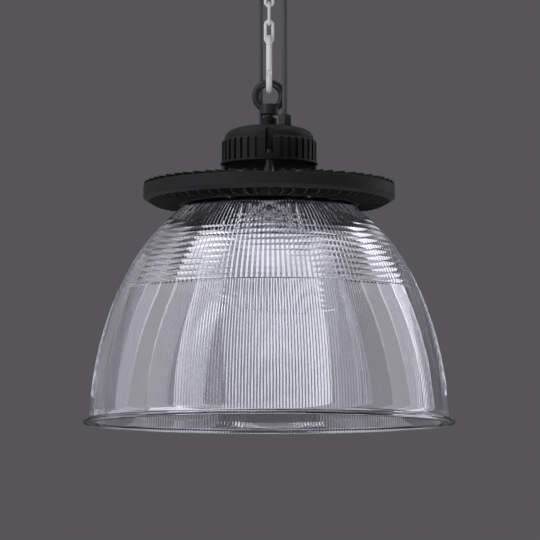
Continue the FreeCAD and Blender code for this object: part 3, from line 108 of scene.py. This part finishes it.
# object coordinates times a scale for each axis
def place(material, scale=(1, 1, 1)):
    coordinates = addNode(material, "ShaderNodeTexCoord")
    mapping = addNode(material, "ShaderNodeMapping", Scale=scale)
    link(material, coordinates.outputs["Object"], mapping.inputs["Vector"])
    return mapping.outputs["Vector"]


# noise about 0.5, with scale waves to a metre and detail finer layers over them
def noise(material, where, scale, detail=3.0):
    texture = addNode(material, "ShaderNodeTexNoise", Scale=scale, Detail=detail)
    link(material, where, texture.inputs["Vector"])
    return texture.outputs["Fac"]


noiseRange = (0.3, 0.7)     # nearly all of a noise lies in it


# noise in its range to low..high in a straight line, and no further
def spread(material, factor, low, high):
    span = addNode(material, "ShaderNodeMapRange")
    span.inputs["From Min"].default_value, span.inputs["From Max"].default_value = noiseRange
    span.inputs["To Min"].default_value = low
    span.inputs["To Max"].default_value = high
    link(material, factor, span.inputs["Value"])
    return span.outputs["Result"]


# the first colour times (1 - factor) plus the second times factor
def blendColours(material, factor, first, second):
    mix = addNode(material, "ShaderNodeMix", data_type="RGBA")
    mix.inputs["A"].default_value = (*first, 1)
    mix.inputs["B"].default_value = (*second, 1)
    link(material, factor, mix.inputs["Factor"])
    return mix.outputs["Result"]


# tilts the shading as if a height of 0 to 1 stood up to distance metres out, times the strength
def bump(material, shader, height, distance, strength):
    node = addNode(material, "ShaderNodeBump", Distance=distance, Strength=strength)
    link(material, height, node.inputs["Height"])
    link(material, node.outputs["Normal"], shader.inputs["Normal"])


finish = {
    "ior": 1.5,
    "glossScale": 2.3,          # clouds of gloss are finer than those of colour
    "glossDetail": 4.0,
    "grainDetail": 2.0,
    "grainStrength": 0.5,
}


# colour and roughness that wander with noise, and a fine bump: metal, paint, rubber, moulded plastic
def texturedFinish(name, look):
    material, shader = newMaterial(name, Metallic=look.get("metallic", 0.0), IOR=finish["ior"],
                                   Specular_IOR_Level=look.get("specular", 0.5))
    where = place(material, look.get("stretch", (1, 1, 1)))
    cloud = noise(material, where, look["cloud"])
    colour = blendColours(material, cloud, look["dark"], look["light"])
    link(material, colour, shader.inputs["Base Color"])
    gloss = noise(material, where, look["cloud"] * finish["glossScale"], finish["glossDetail"])
    link(material, spread(material, gloss, *look["roughness"]), shader.inputs["Roughness"])
    grain = noise(material, where, look["grain"], finish["grainDetail"])
    bump(material, shader, grain, look["depth"], finish["grainStrength"])
    return material


looks = {
    "black_casting": {"dark": (0.011, 0.011, 0.0115), "light": (0.017, 0.017, 0.0175), "cloud": 30,
                      "roughness": (0.48, 0.6), "specular": 0.28, "grain": 1500, "depth": 0.0002},
    "black_pillar": {"dark": (0.02, 0.02, 0.021), "light": (0.03, 0.03, 0.031), "cloud": 60,
                     "roughness": (0.35, 0.45), "grain": 900, "depth": 0.0001},
    "black_eye_bolt": {"dark": (0.014, 0.014, 0.015), "light": (0.024, 0.024, 0.025), "cloud": 70,
                       "roughness": (0.34, 0.46), "grain": 900, "depth": 0.0002},
    "black_screw": {"dark": (0.02, 0.02, 0.022), "light": (0.035, 0.035, 0.037), "cloud": 120,
                    "roughness": (0.3, 0.4), "grain": 1500, "depth": 0.0001},
    "black_canopy": {"dark": (0.016, 0.016, 0.017), "light": (0.024, 0.024, 0.025), "cloud": 25,
                     "roughness": (0.4, 0.5), "grain": 1500, "depth": 0.0002},
    "black_nylon": {"dark": (0.02, 0.02, 0.021), "light": (0.028, 0.028, 0.03), "cloud": 90,
                    "roughness": (0.42, 0.5), "grain": 1200, "depth": 0.0002},
    "black_rubber": {"dark": (0.015, 0.015, 0.016), "light": (0.024, 0.024, 0.025), "cloud": 80,
                     "roughness": (0.6, 0.75), "grain": 900, "depth": 0.0003},
    "zinc_plate": {"metallic": 1.0, "dark": (0.5, 0.5, 0.52), "light": (0.68, 0.68, 0.7), "cloud": 45,
                   "roughness": (0.3, 0.48), "grain": 500, "depth": 0.0001},
    "zinc_fastener": {"metallic": 1.0, "dark": (0.56, 0.56, 0.57), "light": (0.74, 0.74, 0.74),
                      "cloud": 150, "roughness": (0.24, 0.38), "grain": 900, "depth": 0.0001},
    "zinc_steel": {"metallic": 1.0, "dark": (0.66, 0.66, 0.67), "light": (0.86, 0.86, 0.87),
                   "cloud": 110, "roughness": (0.26, 0.4), "grain": 700, "depth": 0.0002},
    "chain_steel": {"metallic": 0.05, "dark": (0.8, 0.8, 0.81), "light": (0.95, 0.95, 0.95),
                    "cloud": 160, "roughness": (0.36, 0.52), "grain": 600, "depth": 0.0003},
    "hook_steel": {"metallic": 0.0, "dark": (0.84, 0.84, 0.84), "light": (0.97, 0.97, 0.97),
                   "cloud": 130, "roughness": (0.36, 0.54), "grain": 450, "depth": 0.0004,
                   "stretch": (1, 1, 0.35)},
    "grey_silicone": {"dark": (0.3, 0.3, 0.31), "light": (0.38, 0.38, 0.39), "cloud": 60,
                      "roughness": (0.6, 0.72), "grain": 800, "depth": 0.0001},
    "lead_insulation": {"dark": (0.7, 0.69, 0.65), "light": (0.8, 0.79, 0.75), "cloud": 100,
                        "roughness": (0.4, 0.5), "grain": 900, "depth": 0.0001},
    "circuit_board": {"dark": (0.02, 0.15, 0.07), "light": (0.05, 0.24, 0.11), "cloud": 220,
                      "roughness": (0.25, 0.4), "grain": 700, "depth": 0.0001},
    "brass": {"metallic": 1.0, "dark": (0.62, 0.46, 0.2), "light": (0.8, 0.64, 0.34), "cloud": 120,
              "roughness": (0.22, 0.34), "grain": 900, "depth": 0.0001},
    "transformer_yellow": {"dark": (0.55, 0.44, 0.08), "light": (0.75, 0.62, 0.16), "cloud": 60,
                           "roughness": (0.35, 0.5), "grain": 500, "depth": 0.0002},
    "capacitor_sleeve": {"dark": (0.02, 0.03, 0.09), "light": (0.04, 0.06, 0.16), "cloud": 60,
                         "roughness": (0.18, 0.3), "grain": 600, "depth": 0.0001},
    "choke_winding": {"metallic": 0.6, "dark": (0.34, 0.14, 0.05), "light": (0.6, 0.3, 0.13),
                      "cloud": 300, "roughness": (0.25, 0.4), "grain": 900, "depth": 0.0003},
    "terminal_green": {"dark": (0.06, 0.28, 0.12), "light": (0.11, 0.38, 0.17), "cloud": 60,
                       "roughness": (0.38, 0.5), "grain": 800, "depth": 0.0001},
    "white_nylon": {"dark": (0.72, 0.72, 0.7), "light": (0.82, 0.82, 0.8), "cloud": 50,
                    "roughness": (0.4, 0.5), "grain": 800, "depth": 0.0001},
    "white_board": {"dark": (0.78, 0.78, 0.77), "light": (0.86, 0.86, 0.85), "cloud": 70,
                    "roughness": (0.35, 0.48), "grain": 900, "depth": 0.0001},
    "led_phosphor": {"dark": (0.78, 0.6, 0.16), "light": (0.9, 0.76, 0.28), "cloud": 260,
                     "roughness": (0.3, 0.42), "grain": 900, "depth": 0.0001},
}
materials = {name: texturedFinish(name, look) for name, look in looks.items()}

jacketLook = {"dark": (0.07, 0.07, 0.072), "light": (0.095, 0.095, 0.098), "roughness": (0.38, 0.5),
              "streak": 260, "streakDetail": 2.0, "stretch": (1, 1, 0.02),
              "depth": 0.0004, "strength": 0.3}


# extruded jacket: streaks that run along Z, slightly glossy
def cableJacket(look):
    material, shader = newMaterial("cable_jacket", IOR=finish["ior"])
    where = place(material, look["stretch"])
    streak = noise(material, where, look["streak"], look["streakDetail"])
    colour = blendColours(material, streak, look["dark"], look["light"])
    link(material, colour, shader.inputs["Base Color"])
    link(material, spread(material, streak, *look["roughness"]), shader.inputs["Roughness"])
    bump(material, shader, streak, look["depth"], look["strength"])
    return material


materials["cable_jacket"] = cableJacket(jacketLook)

clearLooks = {
    "prismatic_polycarbonate": {"tint": (0.93, 0.935, 0.99), "roughness": (0.01, 0.03), "ior": 1.55,
                                "haze": 18, "hazeDetail": 2.0},
    "clear_lens": {"tint": (0.95, 0.95, 0.98), "roughness": (0.02, 0.06), "ior": 1.5,
                   "haze": 40, "hazeDetail": 2.0},
}


# clear moulded plastic: a refracting solid whose tint wanders half way to white, and its gloss with it
def clearPlastic(name, look):
    material, shader = newMaterial(name, Transmission_Weight=1.0, IOR=look["ior"])
    haze = noise(material, place(material), look["haze"], look["hazeDetail"])
    pale = tuple(0.5 + 0.5 * part for part in look["tint"])
    link(material, blendColours(material, haze, look["tint"], pale), shader.inputs["Base Color"])
    link(material, spread(material, haze, *look["roughness"]), shader.inputs["Roughness"])
    return material


for name, look in clearLooks.items():
    materials[name] = clearPlastic(name, look)
print("materials made:", len(materials))

slotOf = {part["node"]: part["material_slot"] for part in frame["record"]["subparts"]}
for name, thing in nodes.items():
    thing.data.materials.clear()
    thing.data.materials.append(materials[slotOf[name]])
print("CAD nodes dressed:", len(nodes))


cables = {
    "mains": {"node": "mains_cable", "place": (0.0204, -0.012), "diameter": 0.007},
    "control": {"node": "control_cable", "place": (-0.0107, 0.014), "diameter": 0.0052},
}
jacketForm = {
    "levels": (-0.2456, -0.20, -0.14, -0.08, -0.017),
    "splineOrder": 3,
    "stepsAlong": 12,
    "stepsAround": 8,
}


# a round jacket swept along the cable's own upright line, from inside the housing to its connector
def makeCable(name, cable, form):
    points = [(*cable["place"], level) for level in form["levels"]]
    curve = bpy.data.curves.new(f"{name}_cable_jacket", "CURVE")
    curve.dimensions = "3D"
    curve.resolution_u = form["stepsAlong"]
    curve.bevel_depth = cable["diameter"] / 2
    curve.bevel_resolution = form["stepsAround"]
    curve.use_fill_caps = True
    spline = curve.splines.new("NURBS")
    spline.points.add(len(points) - 1)
    for point, position in zip(spline.points, points):
        point.co = (*position, 1)
    spline.order_u = form["splineOrder"]
    spline.use_endpoint_u = True
    jacket = bpy.data.objects.new(f"{name}_cable_jacket", curve)
    bpy.context.scene.collection.objects.link(jacket)
    curve.materials.append(materials["cable_jacket"])
    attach(jacket, rootBody)
    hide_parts(cable["node"])


for name, cable in cables.items():
    makeCable(name, cable, jacketForm)
print("cables laid:", len(cables))


bell = {
    "shoulderPrisms": 180,
    "skirtPrisms": 360,
    "prismSlope": 1.0,         # depth of a groove over half its width
    "neckRadius": 0.1095,
    "shoulderHeight": 0.1142,
    "shoulderRadius": 0.1971,
    "shoulderCurve": 0.2688,
    "shoulderStep": 0.0006,
    "skirtRadius": 0.2342,
    "skirtFoot": 0.008,
    "skirtCurve": 0.4637,
    "neckWall": 0.0028,
    "wall": 0.0045,            # from the crests to the inside
    "crossRibs": 12,
    "crossRibHeight": 0.0003,
    "rowsInARib": 6,
    "plainNeck": 0.0262,       # height above the cross ribs
    "flangeRadius": 0.096,
    "flangeThickness": 0.003,
    "footLevel": 0.0012,       # prisms end here
    "footTaper": 0.0006,       # height in which they run out
    "footInset": 0.0008,
    "neckTaper": 0.002,
    "rimRadius": 0.2427,
    "rimHeight": 0.0066,
    "rimWall": 0.002,          # the lip's skin, turned down at its edge
    "rimEdge": 0.0016,
    "rimCorner": 0.0006,       # cut off the corner inside the skin
    "rimOverlap": 0.0004,      # by which the lip starts inside the wall
    "shoulderRows": 20,
    "skirtRows": 22,
    "insideRows": 12,
    "plainRows": 5,
    "edgeRows": 6,
    "aroundInside": 360,
}


# radius at each level on an outward arc through two (radius, level) points: the radius of its centre
# plus the root of (curve squared less the squared height from the centre), where curve is its own radius
def arcRadius(levels, lower, upper, curve):
    (r0, z0), (r1, z1) = lower, upper
    chord = math.hypot(r0 - r1, z1 - z0)
    sag = math.sqrt(curve ** 2 - chord ** 2 / 4)
    centreR = (r0 + r1) / 2 - sag * (z1 - z0) / chord
    centreZ = (z0 + z1) / 2 - sag * (r0 - r1) / chord
    return centreR + np.sqrt(curve ** 2 - (levels - centreZ) ** 2)


# each (radius, level) row of a profile turned once round the axis, less a depth for each row and column
def ringGrid(profile, columns, depth=0.0):
    angles = np.arange(columns) * 2 * math.pi / columns
    radius = np.repeat(profile[:, :1], columns, axis=1) - depth
    level = np.repeat(profile[:, 1:], columns, axis=1)
    return np.stack([radius * np.cos(angles), radius * np.sin(angles), level], axis=-1).reshape(-1, 3)


# quads between neighbouring rows of a closed ring grid; they face out where the rows run down
def ringFaces(rows, columns, start):
    row, column = np.meshgrid(np.arange(rows - 1), np.arange(columns), indexing="ij")
    following = (column + 1) % columns
    quads = np.stack([row * columns + column, (row + 1) * columns + column,
                      (row + 1) * columns + following, row * columns + following], axis=-1)
    return (quads.reshape(-1, 4) + start).tolist()


# triangles between an upper and a lower ring, where one has a whole number of times the other's columns
def joinRings(upper, upperCount, lower, lowerCount):
    fine, coarse = max(upperCount, lowerCount), min(upperCount, lowerCount)
    fineStart, coarseStart = (upper, lower) if upperCount >= lowerCount else (lower, upper)
    ratio = fine // coarse
    column = np.arange(coarse)
    triangles = []
    for step in range(ratio):
        near = fineStart + (column * ratio + step) % fine
        far = fineStart + (column * ratio + step + 1) % fine
        apex = coarseStart + (column + (step >= ratio // 2)) % coarse
        triangles.append(np.stack([near, apex, far], axis=1))
    middle = fineStart + (column * ratio + ratio // 2) % fine
    following = coarseStart + (column + 1) % coarse
    triangles.append(np.stack([middle, coarseStart + column, following], axis=1))
    triangles = np.concatenate(triangles)
    return (triangles if fineStart == upper else triangles[:, ::-1]).tolist()


# quads between the last and the first ring of a closed profile
def stitchRings(last, first, columns):
    column = np.arange(columns)
    following = (column + 1) % columns
    corners = [last + column, first + column, first + following, last + following]
    return np.stack(corners, axis=1).tolist()


# a smooth piece; sharp says for each edge's pair of vertices whether it is sharp
def makeMesh(name, vertices, faces, material, sharp=None):
    mesh = bpy.data.meshes.new(name)
    mesh.from_pydata(vertices.tolist(), [], faces)
    mesh.polygons.foreach_set("use_smooth", np.ones(len(mesh.polygons), bool))
    mesh.materials.append(material)
    if sharp is not None:
        edges = np.empty(len(mesh.edges) * 2, np.int32)
        mesh.edges.foreach_get("vertices", edges)
        marks = mesh.attributes.new("sharp_edge", "BOOLEAN", "EDGE")
        marks.data.foreach_set("value", sharp(edges.reshape(-1, 2)))
    mesh.update()
    piece = bpy.data.objects.new(name, mesh)
    bpy.context.scene.collection.objects.link(piece)
    return piece


# a row's grooves: every second column lies deeper by slope times half the width of a prism
def grooveDepth(profile, prisms, slope, fade):
    halfWidth = profile[:, 0] * math.pi / prisms
    return (halfWidth * slope * fade)[:, None] * (np.arange(2 * prisms) % 2)[None, :]


# the prismatic wall: upright V grooves outside, cross ribs inside, a flange at its neck, a rolled rim
def makeBell(bell):
    height = deckZ - rimZ
    edgeLevel = height - bell["shoulderHeight"]
    neck, shoulder = (bell["neckRadius"], height), (bell["shoulderRadius"], edgeLevel)
    skirtTop = (bell["shoulderRadius"] + bell["shoulderStep"], edgeLevel)
    foot = (bell["skirtRadius"], bell["skirtFoot"])

    upper = np.linspace(height - bell["neckTaper"], edgeLevel, bell["shoulderRows"])
    upper = np.insert(upper, 0, height)
    lower = np.linspace(edgeLevel, bell["footLevel"] + bell["footTaper"], bell["skirtRows"])
    lower = np.append(lower, bell["footLevel"])
    shoulderSide = np.stack([arcRadius(upper, shoulder, neck, bell["shoulderCurve"]), upper], axis=1)
    skirtSide = np.stack([arcRadius(lower, foot, skirtTop, bell["skirtCurve"]), lower], axis=1)
    shoulderFade, skirtFade = (upper < height) * 1.0, (lower > bell["footLevel"]) * 1.0

    # inside, from the rim's foot up to the flange
    rise = np.linspace(0, edgeLevel, bell["insideRows"])
    skirtInside = arcRadius(rise, foot, skirtTop, bell["skirtCurve"]) - bell["wall"]
    ribTop = height - bell["plainNeck"]
    ribRows = bell["crossRibs"] * bell["rowsInARib"]
    ribStep = np.arange(1, ribRows + 1)
    ribLevels = edgeLevel + ribStep * (ribTop - edgeLevel) / ribRows
    plain = np.linspace(ribTop, height - bell["flangeThickness"], bell["plainRows"] + 1)[1:]
    across = ribStep % bell["rowsInARib"] / bell["rowsInARib"]
    swell = bell["crossRibHeight"] * 4 * across * (1 - across)
    lift = np.concatenate([swell, np.zeros(bell["plainRows"])])
    levels = np.concatenate([ribLevels, plain])
    thinning = bell["neckWall"] - bell["wall"]
    wall = bell["wall"] + thinning * (levels - edgeLevel) / bell["shoulderHeight"]
    shoulderInside = arcRadius(levels, shoulder, neck, bell["shoulderCurve"]) - wall - lift

    outline = np.concatenate([
        [[skirtSide[-1, 0] - bell["footInset"], 0]],
        np.stack([skirtInside, rise], axis=1),
        np.stack([shoulderInside, levels], axis=1),
        [[bell["flangeRadius"], height - bell["flangeThickness"]], [bell["flangeRadius"], height]]])

    # the lip: out from the wall, round its edge, down, and back up inside its skin
    rimR, rimH, skin, edge = bell["rimRadius"], bell["rimHeight"], bell["rimWall"], bell["rimEdge"]
    corner = bell["rimCorner"]
    inner = bell["skirtRadius"] - bell["rimOverlap"]
    turn = np.linspace(0, math.pi / 2, bell["edgeRows"])
    topRound = [rimR - edge + edge * np.sin(turn), rimH - edge + edge * np.cos(turn)]
    footRound = [rimR - skin / 2 + skin / 2 * np.cos(2 * turn), skin / 2 - skin / 2 * np.sin(2 * turn)]
    lip = np.concatenate([
        [[inner, rimH - skin], [inner, rimH]],
        np.stack(topRound, axis=1),
        np.stack(footRound, axis=1),
        [[rimR - skin, rimH - skin - corner], [rimR - skin - corner, rimH - skin]]])

    shoulderCount, skirtCount = 2 * bell["shoulderPrisms"], 2 * bell["skirtPrisms"]
    insideCount = bell["aroundInside"]
    shoulderDepth = grooveDepth(shoulderSide, bell["shoulderPrisms"], bell["prismSlope"], shoulderFade)
    skirtDepth = grooveDepth(skirtSide, bell["skirtPrisms"], bell["prismSlope"], skirtFade)
    grids = [ringGrid(shoulderSide, shoulderCount, shoulderDepth),
             ringGrid(skirtSide, skirtCount, skirtDepth),
             ringGrid(outline, insideCount), ringGrid(lip, insideCount)]
    skirtStart = len(grids[0])
    bodyStart = skirtStart + len(grids[1])
    lipStart = bodyStart + len(grids[2])
    vertices = np.concatenate(grids)
    vertices[:, 2] += rimZ
    faces = (ringFaces(len(shoulderSide), shoulderCount, 0)
             + ringFaces(len(skirtSide), skirtCount, skirtStart)
             + ringFaces(len(outline), insideCount, bodyStart)
             + joinRings(skirtStart - shoulderCount, shoulderCount, skirtStart, skirtCount)
             + joinRings(bodyStart - skirtCount, skirtCount, bodyStart, insideCount)
             + joinRings(lipStart - insideCount, insideCount, 0, shoulderCount)
             + ringFaces(len(lip), insideCount, lipStart)
             + stitchRings(len(vertices) - insideCount, lipStart, insideCount))

    ribStart = bodyStart + (len(outline) - 2 - len(levels) - 1) * insideCount
    ribEnd = ribStart + (ribRows + 1) * insideCount

    # sharp along every crest and groove, at the rings between the parts, and between the cross ribs
    def sharpEdges(pairs):
        low, high = pairs.min(axis=1), pairs.max(axis=1)
        onShoulder, onSkirt = high < skirtStart, (low >= skirtStart) & (high < bodyStart)
        upright = (onShoulder & (high - low == shoulderCount)) | (onSkirt & (high - low == skirtCount))
        joined = ((low < skirtStart) & (high >= skirtStart)) | ((low < bodyStart) & (high >= bodyStart))
        neckTaper = high < 2 * shoulderCount
        shoulderFoot = onShoulder & (low >= skirtStart - shoulderCount)
        skirtHead = onSkirt & (high < skirtStart + skirtCount)
        footTaper = (low >= bodyStart - 2 * skirtCount) & (high < bodyStart - skirtCount)
        skirtEnd = onSkirt & (low >= bodyStart - skirtCount)
        onRib = (low >= ribStart) & (high < ribEnd)
        lowRing, highRing = (low - ribStart) // insideCount, (high - ribStart) // insideCount
        betweenRibs = onRib & (lowRing == highRing) & (lowRing % bell["rowsInARib"] == 0)
        ends = shoulderFoot | skirtHead | skirtEnd
        return upright | joined | neckTaper | footTaper | ends | betweenRibs

    plastic = materials["prismatic_polycarbonate"]
    piece = makeMesh("prismatic_reflector", vertices, faces, plastic, sharpEdges)
    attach(piece, rootBody)
    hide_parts("reflector")
    return piece


reflectorPiece = makeBell(bell)
print("reflector made:", len(reflectorPiece.data.polygons), "faces")


studio = {
    "background": (0.0953, 0.0908, 0.0976),
    "ambient": 0.15,
    "floorLevel": -4.2,
    "floorSize": 16.0,
    "floorColour": (0.62, 0.62, 0.63),
    "floorRoughness": 0.8,
}


# the largest of three flags: 1 for a ray from the camera, off a gloss or through a clear piece
def backgroundSwitch(tree, mix):
    path = tree.nodes.new("ShaderNodeLightPath")
    total = path.outputs["Is Camera Ray"]
    for output in ("Is Glossy Ray", "Is Transmission Ray"):
        sumNode = tree.nodes.new("ShaderNodeMath")
        sumNode.operation = "MAXIMUM"
        tree.links.new(total, sumNode.inputs[0])
        tree.links.new(path.outputs[output], sumNode.inputs[1])
        total = sumNode.outputs[0]
    tree.links.new(total, mix.inputs["Fac"])


# the background's colour where the switch is 1, and an even white light where it is 0
def makeWorld(studio):
    world = bpy.data.worlds.new("studio")
    world.use_nodes = True
    bpy.context.scene.world = world
    tree = world.node_tree
    tree.nodes.clear()
    seen = tree.nodes.new("ShaderNodeBackground")
    seen.inputs["Color"].default_value = (*studio["background"], 1)
    lit = tree.nodes.new("ShaderNodeBackground")
    lit.inputs["Color"].default_value = (1, 1, 1, 1)
    lit.inputs["Strength"].default_value = studio["ambient"]
    mix = tree.nodes.new("ShaderNodeMixShader")
    backgroundSwitch(tree, mix)
    tree.links.new(lit.outputs[0], mix.inputs[1])
    tree.links.new(seen.outputs[0], mix.inputs[2])
    output = tree.nodes.new("ShaderNodeOutputWorld")
    tree.links.new(mix.outputs[0], output.inputs["Surface"])


# a plain pale floor far under the light, clear when looked at from beneath
def makeFloor(studio):
    half, level = studio["floorSize"] / 2, studio["floorLevel"]
    corners = np.array([(-half, -half, level), (half, -half, level),
                        (half, half, level), (-half, half, level)])
    material, shader = newMaterial("floor", Base_Color=(*studio["floorColour"], 1),
                                   Roughness=studio["floorRoughness"])
    underside = addNode(material, "ShaderNodeNewGeometry").outputs["Backfacing"]
    clear = addNode(material, "ShaderNodeBsdfTransparent")
    mix = addNode(material, "ShaderNodeMixShader")
    link(material, underside, mix.inputs[0])
    link(material, shader.outputs[0], mix.inputs[1])
    link(material, clear.outputs[0], mix.inputs[2])
    link(material, mix.outputs[0], material.node_tree.nodes["Material Output"].inputs["Surface"])
    floor = makeMesh("floor", corners, [(0, 1, 2, 3)], material)


makeWorld(studio)
makeFloor(studio)

softboxColour = (0.94, 0.94, 1.0)
lampTarget = np.array([0, 0, -0.45])

# azimuth from straight behind (right is positive), height and distance as seen from the target
softboxes = {
    "key_left": {"azimuth": -127, "height": 22, "distance": 4.2, "size": (1.6, 3.8), "glow": 2.0},
    "key_high": {"azimuth": -122, "height": 60, "distance": 3.6, "size": (3.6, 2.6), "glow": 0.7},
    "front_fill": {"azimuth": -173, "height": -31, "distance": 4.0, "size": (4.4, 2.8), "glow": 2.1},
    "near_left": {"azimuth": -27, "height": 20, "distance": 3.2, "size": (0.7, 2.4), "glow": 0.14},
    "near_right": {"azimuth": 27, "height": 20, "distance": 3.2, "size": (0.7, 2.4), "glow": 0.14},
    "back_left": {"azimuth": -55, "height": 22, "distance": 3.2, "size": (0.9, 2.7), "glow": 0.2},
    "back_right": {"azimuth": 55, "height": 22, "distance": 3.2, "size": (0.9, 2.7), "glow": 1.1},
    "middle_left": {"azimuth": -71, "height": 16, "distance": 3.2, "size": (0.9, 3.4), "glow": 0.34},
    "middle_right": {"azimuth": 71, "height": 16, "distance": 3.2, "size": (0.9, 3.4), "glow": 0.38},
    "side_left": {"azimuth": -87, "height": 16, "distance": 3.2, "size": (0.9, 3.4), "glow": 0.26},
    "side_right": {"azimuth": 87, "height": 16, "distance": 3.2, "size": (0.9, 3.4), "glow": 0.26},
    "far_left": {"azimuth": -104, "height": 16, "distance": 3.2, "size": (1.0, 3.4), "glow": 0.3},
    "far_right": {"azimuth": 104, "height": 16, "distance": 3.2, "size": (1.0, 3.4), "glow": 0.17},
    "low_left": {"azimuth": -50, "height": -26, "distance": 3.0, "size": (4.0, 1.2), "glow": 0.3},
    "low_right": {"azimuth": 50, "height": -26, "distance": 3.0, "size": (4.0, 1.2), "glow": 0.3},
    "overhead": {"azimuth": 0, "height": 78, "distance": 3.4, "size": (4.0, 3.0), "glow": 0.6},
    "below": {"azimuth": 0, "height": -80, "distance": 2.3, "size": (3.0, 3.0), "glow": 0.7},
}


# a rectangular area lamp that faces the target; its power is its glow times pi times its area
def addSoftbox(name, box):
    data = bpy.data.lights.new(name, "AREA")
    data.shape = "RECTANGLE"
    data.size, data.size_y = box["size"]
    data.energy = box["glow"] * math.pi * box["size"][0] * box["size"][1]
    data.color = softboxColour
    turn, height = math.radians(box["azimuth"]), math.radians(box["height"])
    level = math.cos(height)
    towards = np.array([math.sin(turn) * level, math.cos(turn) * level, math.sin(height)])
    lamp = bpy.data.objects.new(name, data)
    lamp.location = lampTarget + towards * box["distance"]
    lamp.rotation_euler = (math.pi / 2 - height, 0, math.pi - turn)
    lamp.visible_camera = False
    bpy.context.scene.collection.objects.link(lamp)


for name, box in softboxes.items():
    addSoftbox(name, box)
print("lamps placed:", len(softboxes))
